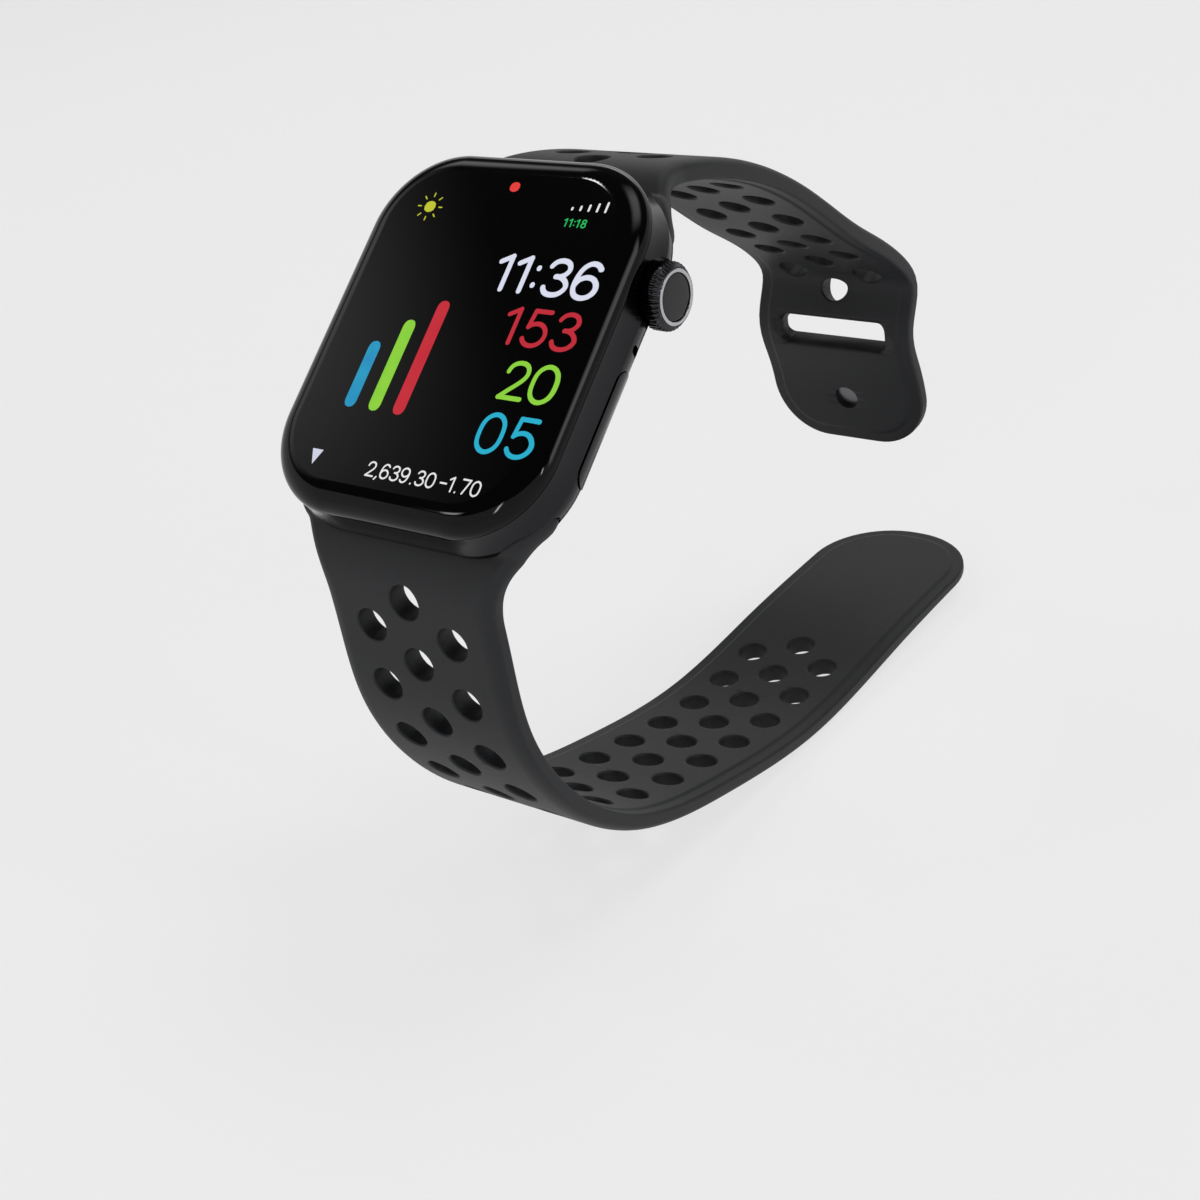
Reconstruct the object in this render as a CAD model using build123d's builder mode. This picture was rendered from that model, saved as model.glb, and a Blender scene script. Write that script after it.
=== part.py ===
"""Smartwatch with a touch display, a turning crown and a two-piece perforated elastomer strap.

Frame: millimetres, +Z up, +X towards the crown. The origin is the apex of the domed back
crystal, where a charging stand or a wrist carries the watch. The display leans back by
display_tilt. Inside the watch, places are given as x (across), u (up the display) and
w (outward along the display's normal, zero at the back crystal's apex).
"""
import os
from math import atan2, cos, degrees, hypot, radians, sin

from build123d import *

os.makedirs("parts", exist_ok=True)

# ---------------------------------------------------------------- driving dimensions
display_tilt = 50.0

case_width = 38.0
case_height = 45.0
case_corner = 10.6
floor_level = 1.3
belt_level = 5.2
seam_level = 8.3
seam_inset = 0.4
belly_radius = 3.9
side_wall = 1.8
floor_thickness = 0.8

glass_top = 10.7
glass_roll = 3.0
seam_gap = 0.1
glass_seat_depth = 0.8
glass_seat_width = 0.7
gasket_height = 0.4
panel_thickness = 0.8
panel_margin = 0.4

pocket_wall = 0.52
pocket_corner = 3.0
upper_pocket_level = 6.2

back_opening = 27.0
back_opening_corner = 9.0
back_flange_overlap = 0.7
back_flange_thickness = 0.4
crystal_diameter = 26.0
crystal_edge = 0.3
crystal_stub_diameter = 21.8
crystal_stub_height = 0.9

crown_u = 10.0
crown_w = 3.9
crown_diameter = 7.3
crown_face_diameter = 6.2
crown_reach = 2.0
crown_chamfer_length = 0.55
crown_recess_depth = 0.7
crown_shaft_diameter = 2.2
crown_sleeve_diameter = 3.4
crown_grooves = 40
crown_groove_radius = 0.16
crown_ring_width = 0.4
crown_travel = 0.3

button_u = -5.85
button_w = 3.75
button_length = 13.5
button_width = 3.3
button_proud = 0.15
button_travel = 0.25

mic_u = 3.3
mic_length = 1.8
mic_width = 1.0
speaker_slot_length = 4.8
speaker_slot_width = 1.1
speaker_slot_pitch = 7.0
speaker_u = 3.0

lug_bulb_radius = 1.5
lug_inner_setback = 5.0
lug_inner_w = 3.6
lug_outer_setback = 2.5
lug_outer_w = 4.1
mouth_reach = 0.9
mouth_w = 2.64
lug_width = 33.0
neck_thickness = 2.6
release_setback = 4.5
release_length = 6.0
release_width = 1.8
release_travel = 0.5

strap_width = 24.0
strap_thickness = 2.6
tail_thickness = 1.7
tail_taper_length = 32.0
tail_tip_radius = 11.5
flare_length = 7.5
flare_lap = 1.8
perforation_diameter = 4.0
perforation_pitch = 7.75
perforation_column = 5.8
first_perforation = 6.9
plain_tail = 36.0
stud_setback = 7.0
stud_diameter = 3.4
stud_head_diameter = 4.8
tuck_slot_setback = 18.0
tuck_slot_width = 17.0
tuck_slot_height = 3.6
end_corner = 8.0

haptic_length = 23.4
haptic_width = 8.2
haptic_height = 2.8
haptic_wall = 0.4
haptic_travel = 1.2

running_clearance = 0.05
part_gap = 0.1
slide_clearance = 0.08
open_clearance = 0.3

# ---------------------------------------------------------------- frame of the watch
tilt_sin = sin(radians(display_tilt))
tilt_cos = cos(radians(display_tilt))
across = Vector(1, 0, 0)
up_display = Vector(0, tilt_sin, tilt_cos)
outward = Vector(0, -tilt_cos, tilt_sin)

case_plane = Plane(origin=(0, 0, 0), x_dir=across, z_dir=outward)
side_plane = Plane(origin=(0, 0, 0), x_dir=up_display, z_dir=across)
front_plane = Plane(origin=(0, 0, 0), x_dir=across, z_dir=-up_display)


def level(w):
    """Plane parallel to the display at height w: sketch axes are x and u."""
    return case_plane.offset(w)


def station(x):
    """Plane square to the watch's width at x: sketch axes are u and w."""
    return side_plane.offset(x)


def upright(u, w):
    """Y and Z of the point at u and w, for sketches on Plane.YZ."""
    return (u * tilt_sin - w * tilt_cos, u * tilt_cos + w * tilt_sin)


half_width = case_width / 2
half_height = case_height / 2
floor_top = floor_level + floor_thickness
wall_x = half_width - side_wall
lug_inner_u = half_height - lug_inner_setback
lug_outer_u = half_height - lug_outer_setback
mouth_u = half_height + mouth_reach
release_u = half_height - release_setback
bulb_clear = lug_bulb_radius + slide_clearance
pocket_half = lug_inner_u - bulb_clear - pocket_wall
pocket_height = 2 * pocket_half


def rounded(width, height, corner, inset, mode=Mode.ADD):
    """Rounded rectangle inside another by the same inset all round."""
    return RectangleRounded(width - 2 * inset, height - 2 * inset, corner - inset, mode=mode)


# ---------------------------------------------------------------- case
shoulder_height = seam_level - belt_level
shoulder_radius = (seam_inset**2 + shoulder_height**2) / (2 * seam_inset)
core_inset = 8.0
straight_u = half_height - case_corner
straight_x = half_width - case_corner


def case_outline(inset):
    """Closed wire round the case, starting at the middle of the crown side."""
    corner = case_corner - inset
    side = half_width - inset
    end = half_height - inset
    with BuildLine(case_plane) as outline:
        Line((side, 0), (side, straight_u))
        CenterArc((straight_x, straight_u), corner, 0, 90)
        Line((straight_x, end), (-straight_x, end))
        CenterArc((-straight_x, straight_u), corner, 90, 90)
        Line((-side, straight_u), (-side, -straight_u))
        CenterArc((-straight_x, -straight_u), corner, 180, 90)
        Line((-straight_x, -end), (straight_x, -end))
        CenterArc((straight_x, -straight_u), corner, 270, 90)
        Line((side, -straight_u), (side, 0))
    return outline.wire()


def side_section(inset, depth):
    """Section of the case's rim on front_plane, drawn from its outer face inwards."""
    belt_x = half_width - inset
    inner_x = half_width - depth
    low = floor_level + inset
    belly = belly_radius - inset
    with BuildSketch(front_plane) as section:
        with BuildLine():
            Line((inner_x, seam_level), (half_width - seam_inset - inset, seam_level))
            RadiusArc((half_width - seam_inset - inset, seam_level), (belt_x, belt_level), -shoulder_radius)
            CenterArc((belt_x - belly, belt_level), belly, 0, -90)
            Line((belt_x - belly, low), (inner_x, low))
            Line((inner_x, low), (inner_x, seam_level))
        make_face()
    return section.sketch


with BuildPart() as case_form:
    sweep(sections=side_section(0, core_inset), path=case_outline(0))
    with BuildSketch(level(floor_level)):
        rounded(case_width, case_height, case_corner, core_inset - part_gap)
    extrude(amount=seam_level - floor_level)

glass_width = case_width - 2 * seam_inset
glass_height = case_height - 2 * seam_inset
glass_corner = case_corner - seam_inset
glass_bottom = seam_level + seam_gap
seat_inset = side_wall - glass_seat_width
seat_level = seam_level - glass_seat_depth
mouth_clear = neck_thickness / 2 + open_clearance / 2
boss_x = wall_x - 2.2
boss_u = pocket_half - 1.4
boss_radius = 1.1
screw_depth = 0.7
frame_level = 2.95
screw_radius = 0.5


def capsule(start, end, radius):
    """Slot drawn round the line between two points."""
    run, rise = end[0] - start[0], end[1] - start[1]
    with Locations(((start[0] + end[0]) / 2, (start[1] + end[1]) / 2)):
        SlotCenterToCenter(hypot(run, rise), 2 * radius, rotation=degrees(atan2(rise, run)))


def lug_channel(side, bulb, neck):
    """Section of a strap slot, or of the lug that slides in it, on side_plane."""
    inner = (side * lug_inner_u, lug_inner_w)
    outer = (side * lug_outer_u, lug_outer_w)
    root = (side * (lug_inner_u + lug_outer_u) / 2, (lug_inner_w + lug_outer_w) / 2 - 0.3)
    mouth = (side * mouth_u, mouth_w)
    capsule(inner, outer, bulb)
    capsule(root, mouth, neck)


with BuildPart() as case_shell:
    add(case_form.part)
    with BuildSketch(level(seat_level)):
        rounded(case_width, case_height, case_corner, seat_inset)
    extrude(amount=glass_seat_depth + seam_gap, mode=Mode.SUBTRACT)
    with BuildSketch(level(upper_pocket_level)):
        rounded(case_width, case_height, case_corner, side_wall)
    extrude(amount=seat_level - upper_pocket_level, mode=Mode.SUBTRACT)
    with BuildSketch(level(floor_top)):
        RectangleRounded(2 * wall_x, pocket_height, pocket_corner)
    extrude(amount=upper_pocket_level - floor_top, mode=Mode.SUBTRACT)
    with BuildSketch(level(floor_top)):
        with GridLocations(2 * boss_x, 2 * boss_u, 2, 2):
            Circle(boss_radius)
    extrude(amount=frame_level - floor_top)
    with BuildSketch(level(frame_level)):
        with GridLocations(2 * boss_x, 2 * boss_u, 2, 2):
            Circle(screw_radius + running_clearance)
    extrude(amount=-screw_depth - part_gap, mode=Mode.SUBTRACT)
    with BuildSketch(level(floor_level - part_gap)):
        RectangleRounded(back_opening, back_opening, back_opening_corner)
    extrude(amount=floor_thickness + 2 * part_gap, mode=Mode.SUBTRACT)
    for side in (1, -1):
        with BuildSketch(station(-half_width)):
            lug_channel(side, bulb_clear, mouth_clear)
        extrude(amount=case_width, mode=Mode.SUBTRACT)
        with BuildSketch(level(floor_level - part_gap)):
            with Locations((0, side * release_u)):
                SlotOverall(release_length + 2 * part_gap, release_width + 2 * part_gap)
        extrude(amount=floor_thickness + part_gap + release_travel, mode=Mode.SUBTRACT)
    with BuildSketch(station(half_width - crown_recess_depth)):
        with Locations((crown_u, crown_w)):
            Circle(crown_diameter / 2 + open_clearance)
    extrude(amount=crown_reach, mode=Mode.SUBTRACT)
    with BuildSketch(station(wall_x - part_gap)):
        with Locations((crown_u, crown_w)):
            Circle(crown_sleeve_diameter / 2 + running_clearance)
        with Locations((button_u, button_w)):
            SlotOverall(button_length, button_width)
        with Locations((mic_u, crown_w)):
            SlotOverall(mic_length, mic_width, rotation=90)
    extrude(amount=crown_reach + side_wall, mode=Mode.SUBTRACT)
    with BuildSketch(station(-half_width - part_gap)):
        with Locations((speaker_u, crown_w)):
            with GridLocations(speaker_slot_pitch, 0, 2, 1):
                SlotOverall(speaker_slot_length, speaker_slot_width)
    extrude(amount=side_wall + 2 * part_gap, mode=Mode.SUBTRACT)
case_shell.part.label = "case_shell"
export_step(case_shell.part, "parts/case_shell.step")

# ---------------------------------------------------------------- display stack
plug_inset = seat_inset + part_gap
plug_bottom = seat_level + gasket_height


def glass_section(depth):
    """Section of the crystal's rolled edge on front_plane, from the edge inwards."""
    edge_x = glass_width / 2
    inner_x = edge_x - depth
    with BuildSketch(front_plane) as section:
        with BuildLine():
            Line((inner_x, glass_bottom), (edge_x, glass_bottom))
            EllipticalCenterArc(
                (edge_x - glass_roll, glass_bottom), glass_roll, glass_top - glass_bottom, arc_size=90
            )
            Line((edge_x - glass_roll, glass_top), (inner_x, glass_top))
            Line((inner_x, glass_top), (inner_x, glass_bottom))
        make_face()
    return section.sketch


with BuildPart() as front_crystal:
    sweep(sections=glass_section(core_inset), path=case_outline(seam_inset))
    with BuildSketch(level(glass_bottom)):
        rounded(glass_width, glass_height, glass_corner, core_inset - part_gap)
    extrude(amount=glass_top - glass_bottom)
    with BuildSketch(level(plug_bottom)):
        rounded(case_width, case_height, case_corner, plug_inset)
    extrude(amount=glass_bottom - plug_bottom)
front_crystal.part.label = "front_crystal"
export_step(front_crystal.part, "parts/front_crystal.step")

with BuildPart() as display_gasket:
    with BuildSketch(level(seat_level)):
        rounded(case_width, case_height, case_corner, plug_inset)
        rounded(case_width, case_height, case_corner, side_wall, Mode.SUBTRACT)
    extrude(amount=gasket_height)
display_gasket.part.label = "display_gasket"
export_step(display_gasket.part, "parts/display_gasket.step")

with BuildPart() as display_panel:
    with BuildSketch(level(plug_bottom - panel_thickness)):
        rounded(case_width, case_height, case_corner, side_wall + panel_margin)
    extrude(amount=panel_thickness)
display_panel.part.label = "display_panel"
export_step(display_panel.part, "parts/display_panel.step")

panel_bottom = plug_bottom - panel_thickness
light_sensor_u = half_height - 5.0
with BuildPart() as light_sensor:
    with BuildSketch(level(panel_bottom - 0.5)):
        with Locations((0, light_sensor_u)):
            Rectangle(2.4, 1.6)
    extrude(amount=0.5)
light_sensor.part.label = "light_sensor"
export_step(light_sensor.part, "parts/light_sensor.step")

# ---------------------------------------------------------------- back and sensors
flange_top = floor_top + back_flange_thickness
stub_top = floor_level + crystal_stub_height
with BuildPart() as back_cover:
    with BuildSketch(level(floor_level)):
        rounded(back_opening, back_opening, back_opening_corner, part_gap)
    extrude(amount=floor_thickness)
    with BuildSketch(level(floor_top)):
        rounded(back_opening, back_opening, back_opening_corner, -back_flange_overlap)
    extrude(amount=back_flange_thickness)
    with BuildSketch(level(floor_level)):
        Circle(crystal_stub_diameter / 2 + part_gap)
    extrude(amount=floor_thickness + back_flange_thickness, mode=Mode.SUBTRACT)
back_cover.part.label = "back_cover"
export_step(back_cover.part, "parts/back_cover.step")

crystal_radius = crystal_diameter / 2
dome_height = floor_level - crystal_edge
with BuildPart() as back_crystal:
    with BuildSketch(front_plane):
        with BuildLine():
            ThreePointArc(
                (0, 0),
                (crystal_radius / 2, dome_height * 0.2441),
                (crystal_radius, dome_height),
            )
            Line((crystal_radius, dome_height), (crystal_radius, floor_level))
            Line((crystal_radius, floor_level), (crystal_stub_diameter / 2, floor_level))
            Line((crystal_stub_diameter / 2, floor_level), (crystal_stub_diameter / 2, stub_top))
            Line((crystal_stub_diameter / 2, stub_top), (0, stub_top))
            Line((0, stub_top), (0, 0))
        make_face()
    revolve(axis=Axis((0, 0, 0), outward))
back_crystal.part.label = "back_crystal"
export_step(back_crystal.part, "parts/back_crystal.step")

sensor_board_radius = 6.2
sensor_height = 0.35
board_thickness = 0.4
coil_radius = crystal_stub_diameter / 2 - 0.2
sensor_board_level = stub_top + sensor_height
with BuildPart() as sensor_leds:
    with BuildSketch(level(stub_top)):
        with GridLocations(1.6, 1.6, 2, 2):
            Rectangle(1.0, 1.0)
    extrude(amount=sensor_height)
sensor_leds.part.label = "sensor_leds"
export_step(sensor_leds.part, "parts/sensor_leds.step")

with BuildPart() as sensor_photodiodes:
    with BuildSketch(level(stub_top)):
        with PolarLocations(4.2, 8, start_angle=22.5):
            Rectangle(1.9, 1.5)
    extrude(amount=sensor_height)
sensor_photodiodes.part.label = "sensor_photodiodes"
export_step(sensor_photodiodes.part, "parts/sensor_photodiodes.step")

with BuildPart() as sensor_board:
    with BuildSketch(level(sensor_board_level)):
        Circle(sensor_board_radius)
    extrude(amount=frame_level - sensor_board_level)
sensor_board.part.label = "sensor_board"
export_step(sensor_board.part, "parts/sensor_board.step")

with BuildPart() as charging_coil:
    with BuildSketch(level(stub_top)):
        Circle(coil_radius)
        Circle(sensor_board_radius + 0.3, mode=Mode.SUBTRACT)
    extrude(amount=sensor_height)
charging_coil.part.label = "charging_coil"
export_step(charging_coil.part, "parts/charging_coil.step")

ferrite_thickness = 0.25
with BuildPart() as coil_ferrite:
    with BuildSketch(level(sensor_board_level)):
        Circle(coil_radius)
        Circle(sensor_board_radius + 0.2, mode=Mode.SUBTRACT)
    extrude(amount=ferrite_thickness)
coil_ferrite.part.label = "coil_ferrite"
export_step(coil_ferrite.part, "parts/coil_ferrite.step")

# ---------------------------------------------------------------- inner frame and boards
frame_thickness = 0.25
frame_top = frame_level + frame_thickness
crown_bay_x = wall_x - 4.9
button_bay_x = wall_x - 2.7
with BuildPart() as inner_frame:
    with BuildSketch(level(frame_level)):
        RectangleRounded(2 * (wall_x - part_gap), pocket_height - 2 * part_gap, pocket_corner - part_gap)
        with Locations(((crown_bay_x + half_width) / 2, crown_u)):
            Rectangle(half_width - crown_bay_x, 5.2, mode=Mode.SUBTRACT)
        with Locations(((button_bay_x + half_width) / 2, button_u)):
            Rectangle(half_width - button_bay_x, button_length + 1.6, mode=Mode.SUBTRACT)
        with GridLocations(2 * boss_x, 2 * boss_u, 2, 2):
            Circle(screw_radius + running_clearance, mode=Mode.SUBTRACT)
    extrude(amount=frame_thickness)
inner_frame.part.label = "inner_frame"
export_step(inner_frame.part, "parts/inner_frame.step")

screw_head_height = 0.35
with BuildPart() as frame_screws:
    with BuildSketch(level(frame_top)):
        with GridLocations(2 * boss_x, 2 * boss_u, 2, 2):
            Circle(0.95)
    extrude(amount=screw_head_height)
    with BuildSketch(level(frame_top)):
        with GridLocations(2 * boss_x, 2 * boss_u, 2, 2):
            Circle(screw_radius)
    extrude(amount=-frame_thickness - screw_depth)
frame_screws.part.label = "frame_screws"
export_step(frame_screws.part, "parts/frame_screws.step")

haptic_u = 4.4 - pocket_half
haptic_x = -2.1
mesh_thickness = 0.2
speaker_depth = 4.8
battery_low_u = haptic_u + haptic_width / 2 + 0.6
battery_high_u = pocket_half - 0.7
battery_height = 2.7
battery_left = mesh_thickness + speaker_depth + 0.6 - wall_x
main_board_width = 7.3
main_board_right = wall_x - 5.2
main_board_left = main_board_right - main_board_width
battery_right = main_board_left - 0.5


def block(x_low, x_high, u_low, u_high, corner):
    """Rounded rectangle between two x and two u."""
    with Locations(((x_low + x_high) / 2, (u_low + u_high) / 2)):
        RectangleRounded(x_high - x_low, u_high - u_low, corner)


with BuildPart() as battery:
    with BuildSketch(level(frame_top)):
        block(battery_left, battery_right, battery_low_u, battery_high_u, 0.8)
    extrude(amount=battery_height)
battery.part.label = "battery"
export_step(battery.part, "parts/battery.step")

main_board_thickness = 0.5
main_board_top = frame_top + main_board_thickness
with BuildPart() as main_board:
    with BuildSketch(level(frame_top)):
        block(main_board_left, main_board_right, battery_low_u, battery_high_u, 0.5)
    extrude(amount=main_board_thickness)
main_board.part.label = "main_board"
export_step(main_board.part, "parts/main_board.step")

package_height = 1.5
with BuildPart() as system_package:
    with BuildSketch(level(main_board_top)):
        block(main_board_left + 0.4, main_board_right - 1.2, battery_low_u + 1, battery_high_u - 3, 0.4)
    extrude(amount=package_height)
system_package.part.label = "system_package"
export_step(system_package.part, "parts/system_package.step")

flex_thickness = 0.15
flex_u = battery_high_u + 0.25
flex_x = main_board_left + 1.5
flex_width = 4.0
with BuildPart() as display_flex:
    with BuildSketch(station(flex_x)):
        with BuildLine():
            FilletPolyline(
                (flex_u - 9, panel_bottom - flex_thickness / 2),
                (flex_u, panel_bottom - flex_thickness / 2),
                (flex_u, main_board_top + flex_thickness / 2),
                (flex_u - 2.6, main_board_top + flex_thickness / 2),
                radius=0.3,
            )
            offset(amount=flex_thickness / 2, side=Side.BOTH)
        make_face()
    extrude(amount=flex_width)
display_flex.part.label = "display_flex"
export_step(display_flex.part, "parts/display_flex.step")

# ---------------------------------------------------------------- haptic engine
haptic_x_low = haptic_x - haptic_length / 2
haptic_x_high = haptic_x + haptic_length / 2
haptic_u_low = haptic_u - haptic_width / 2
haptic_u_high = haptic_u + haptic_width / 2
mass_gap = haptic_wall + open_clearance
with BuildPart() as haptic_housing:
    with BuildSketch(level(frame_top)):
        block(haptic_x_low, haptic_x_high, haptic_u_low, haptic_u_high, 0.8)
    extrude(amount=haptic_height)
    with BuildSketch(level(frame_top + haptic_wall)):
        block(
            haptic_x_low + haptic_wall,
            haptic_x_high - haptic_wall,
            haptic_u_low + haptic_wall,
            haptic_u_high - haptic_wall,
            0.4,
        )
    extrude(amount=haptic_height - 2 * haptic_wall, mode=Mode.SUBTRACT)
haptic_housing.part.label = "haptic_housing"
export_step(haptic_housing.part, "parts/haptic_housing.step")

mass_end_gap = mass_gap + haptic_travel
with BuildPart() as haptic_mass:
    with BuildSketch(level(frame_top + mass_gap)):
        block(
            haptic_x_low + mass_end_gap,
            haptic_x_high - mass_end_gap,
            haptic_u_low + mass_gap,
            haptic_u_high - mass_gap,
            0.5,
        )
    extrude(amount=haptic_height - 2 * mass_gap)
haptic_mass.part.label = "haptic_mass"
export_step(haptic_mass.part, "parts/haptic_mass.step")

# ---------------------------------------------------------------- sound
mesh_height = 1.3
with BuildPart() as speaker_mesh:
    with BuildSketch(station(-wall_x)):
        with Locations((speaker_u, crown_w)):
            Rectangle(speaker_slot_pitch + speaker_slot_length + 1.2, mesh_height)
    extrude(amount=mesh_thickness)
speaker_mesh.part.label = "speaker_mesh"
export_step(speaker_mesh.part, "parts/speaker_mesh.step")

with BuildPart() as speaker_module:
    with BuildSketch(station(-wall_x + mesh_thickness)):
        with Locations((speaker_u, frame_top + battery_height / 2)):
            RectangleRounded(speaker_slot_pitch + speaker_slot_length + 1.2, battery_height, 0.4)
    extrude(amount=speaker_depth)
speaker_module.part.label = "speaker_module"
export_step(speaker_module.part, "parts/speaker_module.step")

with BuildPart() as microphone:
    with BuildSketch(station(wall_x - part_gap / 2)):
        with Locations((mic_u, crown_w)):
            Rectangle(2.4, mesh_height)
    extrude(amount=-1.4)
microphone.part.label = "microphone"
export_step(microphone.part, "parts/microphone.step")

# ---------------------------------------------------------------- crown
recess_x = half_width - crown_recess_depth
knob_inner_x = recess_x + crown_travel + running_clearance
knob_outer_x = half_width + crown_reach
knob_chamfer_x = knob_outer_x - crown_chamfer_length
knob_radius = crown_diameter / 2
knob_face_radius = crown_face_diameter / 2
shaft_radius = crown_shaft_diameter / 2
sleeve_radius = crown_sleeve_diameter / 2
sleeve_bore = shaft_radius + running_clearance
ring_depth = 0.4
sleeve_inner_x = wall_x - 1.6
sleeve_length = recess_x - open_clearance / 2 - sleeve_inner_x
carriage_inner_x = wall_x - 2.6
carriage_thickness = 0.7
encoder_inner_x = wall_x - 3.6
encoder_thickness = 0.6
shaft_inner_x = wall_x - 4.15
seal_x = wall_x - 0.3
seal_groove = 0.25
seal_radius = 0.14
knob_bore_x = knob_outer_x - 1.0


def crown_round(x, radius, bore=0.0):
    """Disc or ring centred on the crown's axis at x."""
    with BuildSketch(station(x)) as face:
        with Locations((crown_u, crown_w)):
            Circle(radius)
            if bore:
                Circle(bore, mode=Mode.SUBTRACT)
    return face.sketch


with BuildPart() as crown_sleeve:
    extrude(crown_round(sleeve_inner_x, sleeve_radius, sleeve_bore), amount=sleeve_length)
crown_sleeve.part.label = "crown_sleeve"
export_step(crown_sleeve.part, "parts/crown_sleeve.step")

with BuildPart() as crown_carriage:
    with BuildSketch(station(carriage_inner_x)):
        with Locations((crown_u, crown_w)):
            Rectangle(4.0, 2 * sleeve_radius)
            Circle(sleeve_bore, mode=Mode.SUBTRACT)
    extrude(amount=carriage_thickness)
crown_carriage.part.label = "crown_carriage"
export_step(crown_carriage.part, "parts/crown_carriage.step")

with BuildPart() as crown_shaft:
    extrude(crown_round(shaft_inner_x, shaft_radius), amount=knob_bore_x - shaft_inner_x)
    groove = crown_round(seal_x - seal_groove, shaft_radius + running_clearance, shaft_radius - seal_groove)
    extrude(groove, amount=2 * seal_groove, mode=Mode.SUBTRACT)
crown_shaft.part.label = "crown_shaft"
export_step(crown_shaft.part, "parts/crown_shaft.step")

with BuildPart() as crown_seal:
    with Locations(Plane(origin=case_plane.from_local_coords((seal_x, crown_u, crown_w)), z_dir=across)):
        Torus(shaft_radius - seal_radius + running_clearance / 2, seal_radius)
crown_seal.part.label = "crown_seal"
export_step(crown_seal.part, "parts/crown_seal.step")

with BuildPart() as crown_knob:
    extrude(crown_round(knob_inner_x, knob_radius), amount=knob_outer_x - knob_inner_x)
    rim = crown_knob.edges().filter_by(GeomType.CIRCLE).sort_by(Axis.X)
    chamfer(rim[-1], crown_chamfer_length, (crown_diameter - crown_face_diameter) / 2)
    with BuildSketch(station(knob_inner_x)):
        with Locations((crown_u, crown_w)):
            with PolarLocations(knob_radius, crown_grooves):
                Circle(crown_groove_radius)
    extrude(amount=crown_reach + crown_recess_depth, mode=Mode.SUBTRACT)
    face_recess = crown_round(knob_outer_x - ring_depth, knob_face_radius - part_gap)
    extrude(face_recess, amount=ring_depth, mode=Mode.SUBTRACT)
    shaft_bore = crown_round(knob_inner_x, shaft_radius + running_clearance / 2)
    extrude(shaft_bore, amount=knob_bore_x - knob_inner_x, mode=Mode.SUBTRACT)
crown_knob.part.label = "crown_knob"
export_step(crown_knob.part, "parts/crown_knob.step")

ring_outer = knob_face_radius - part_gap - running_clearance / 2
ring_inner = ring_outer - crown_ring_width
with BuildPart() as crown_ring:
    ring_seat = crown_round(knob_outer_x - ring_depth, ring_outer, ring_inner)
    extrude(ring_seat, amount=ring_depth + running_clearance)
    face_rim = crown_ring.edges().filter_by(GeomType.CIRCLE).group_by(Axis.X)[-1]
    chamfer(face_rim, running_clearance)
crown_ring.part.label = "crown_ring"
export_step(crown_ring.part, "parts/crown_ring.step")

with BuildPart() as crown_disc:
    disc_seat = crown_round(knob_outer_x - ring_depth, ring_inner - running_clearance)
    extrude(disc_seat, amount=ring_depth - running_clearance)
crown_disc.part.label = "crown_disc"
export_step(crown_disc.part, "parts/crown_disc.step")

with BuildPart() as crown_encoder:
    with BuildSketch(station(encoder_inner_x)):
        with Locations((crown_u, crown_w)):
            Circle(sleeve_radius)
            with PolarLocations(sleeve_radius, 24):
                Circle(0.1, mode=Mode.SUBTRACT)
            Circle(shaft_radius + running_clearance / 2, mode=Mode.SUBTRACT)
    extrude(amount=encoder_thickness)
crown_encoder.part.label = "crown_encoder"
export_step(crown_encoder.part, "parts/crown_encoder.step")

bracket_thickness = 0.2
bracket_w = upper_pocket_level - bracket_thickness
sensor_w = crown_w + sleeve_radius + open_clearance / 2
with BuildPart() as crown_bracket:
    with BuildSketch(level(bracket_w)):
        block(main_board_right + 0.3, wall_x - running_clearance, crown_u - 1.9, crown_u + 1.9, 0.4)
    extrude(amount=bracket_thickness)
crown_bracket.part.label = "crown_bracket"
export_step(crown_bracket.part, "parts/crown_bracket.step")

with BuildPart() as crown_sensor:
    with BuildSketch(level(sensor_w)):
        block(encoder_inner_x - 0.2, encoder_inner_x + 0.8, crown_u - 0.8, crown_u + 0.8, 0.1)
    extrude(amount=bracket_w - sensor_w)
crown_sensor.part.label = "crown_sensor"
export_step(crown_sensor.part, "parts/crown_sensor.step")

with BuildPart() as crown_switch:
    with BuildSketch(station(main_board_right)):
        with Locations((crown_u, crown_w)):
            Rectangle(2.2, 1.4)
    extrude(amount=shaft_inner_x - crown_travel - running_clearance - main_board_right)
crown_switch.part.label = "crown_switch"
export_step(crown_switch.part, "parts/crown_switch.step")

# ---------------------------------------------------------------- side button
button_flange_x = wall_x - part_gap
button_flange_depth = 0.6
button_flange_extra = 1.2
bracket_x = wall_x - 2.4
bracket_depth = 0.5
switch_face_x = wall_x - 1.3
nub_radius = 0.6
with BuildPart() as side_button:
    with BuildSketch(station(button_flange_x)):
        with Locations((button_u, button_w)):
            SlotOverall(button_length - 2 * part_gap, button_width - 2 * part_gap)
    extrude(amount=half_width)
    with BuildSketch(front_plane.offset(-button_u)):
        with BuildLine():
            Line((button_flange_x, seam_level), (half_width + button_proud, seam_level))
            Line((half_width + button_proud, seam_level), (half_width + button_proud, belt_level))
            CenterArc((half_width - belly_radius + button_proud, belt_level), belly_radius, 0, -60)
            Line(
                (
                    half_width - belly_radius + button_proud + belly_radius * cos(radians(60)),
                    belt_level - belly_radius * sin(radians(60)),
                ),
                (button_flange_x, floor_level),
            )
            Line((button_flange_x, floor_level), (button_flange_x, seam_level))
        make_face()
    extrude(amount=button_length, both=True, mode=Mode.INTERSECT)
    with BuildSketch(station(button_flange_x)):
        with Locations((button_u, button_w)):
            Rectangle(button_length + button_flange_extra, button_width - 4 * part_gap)
    extrude(amount=-button_flange_depth)
    with BuildSketch(station(button_flange_x - button_flange_depth)):
        with Locations((button_u, button_w)):
            Circle(nub_radius)
    extrude(amount=-(button_flange_x - button_flange_depth - switch_face_x - button_travel - running_clearance))
side_button.part.label = "side_button"
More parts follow.
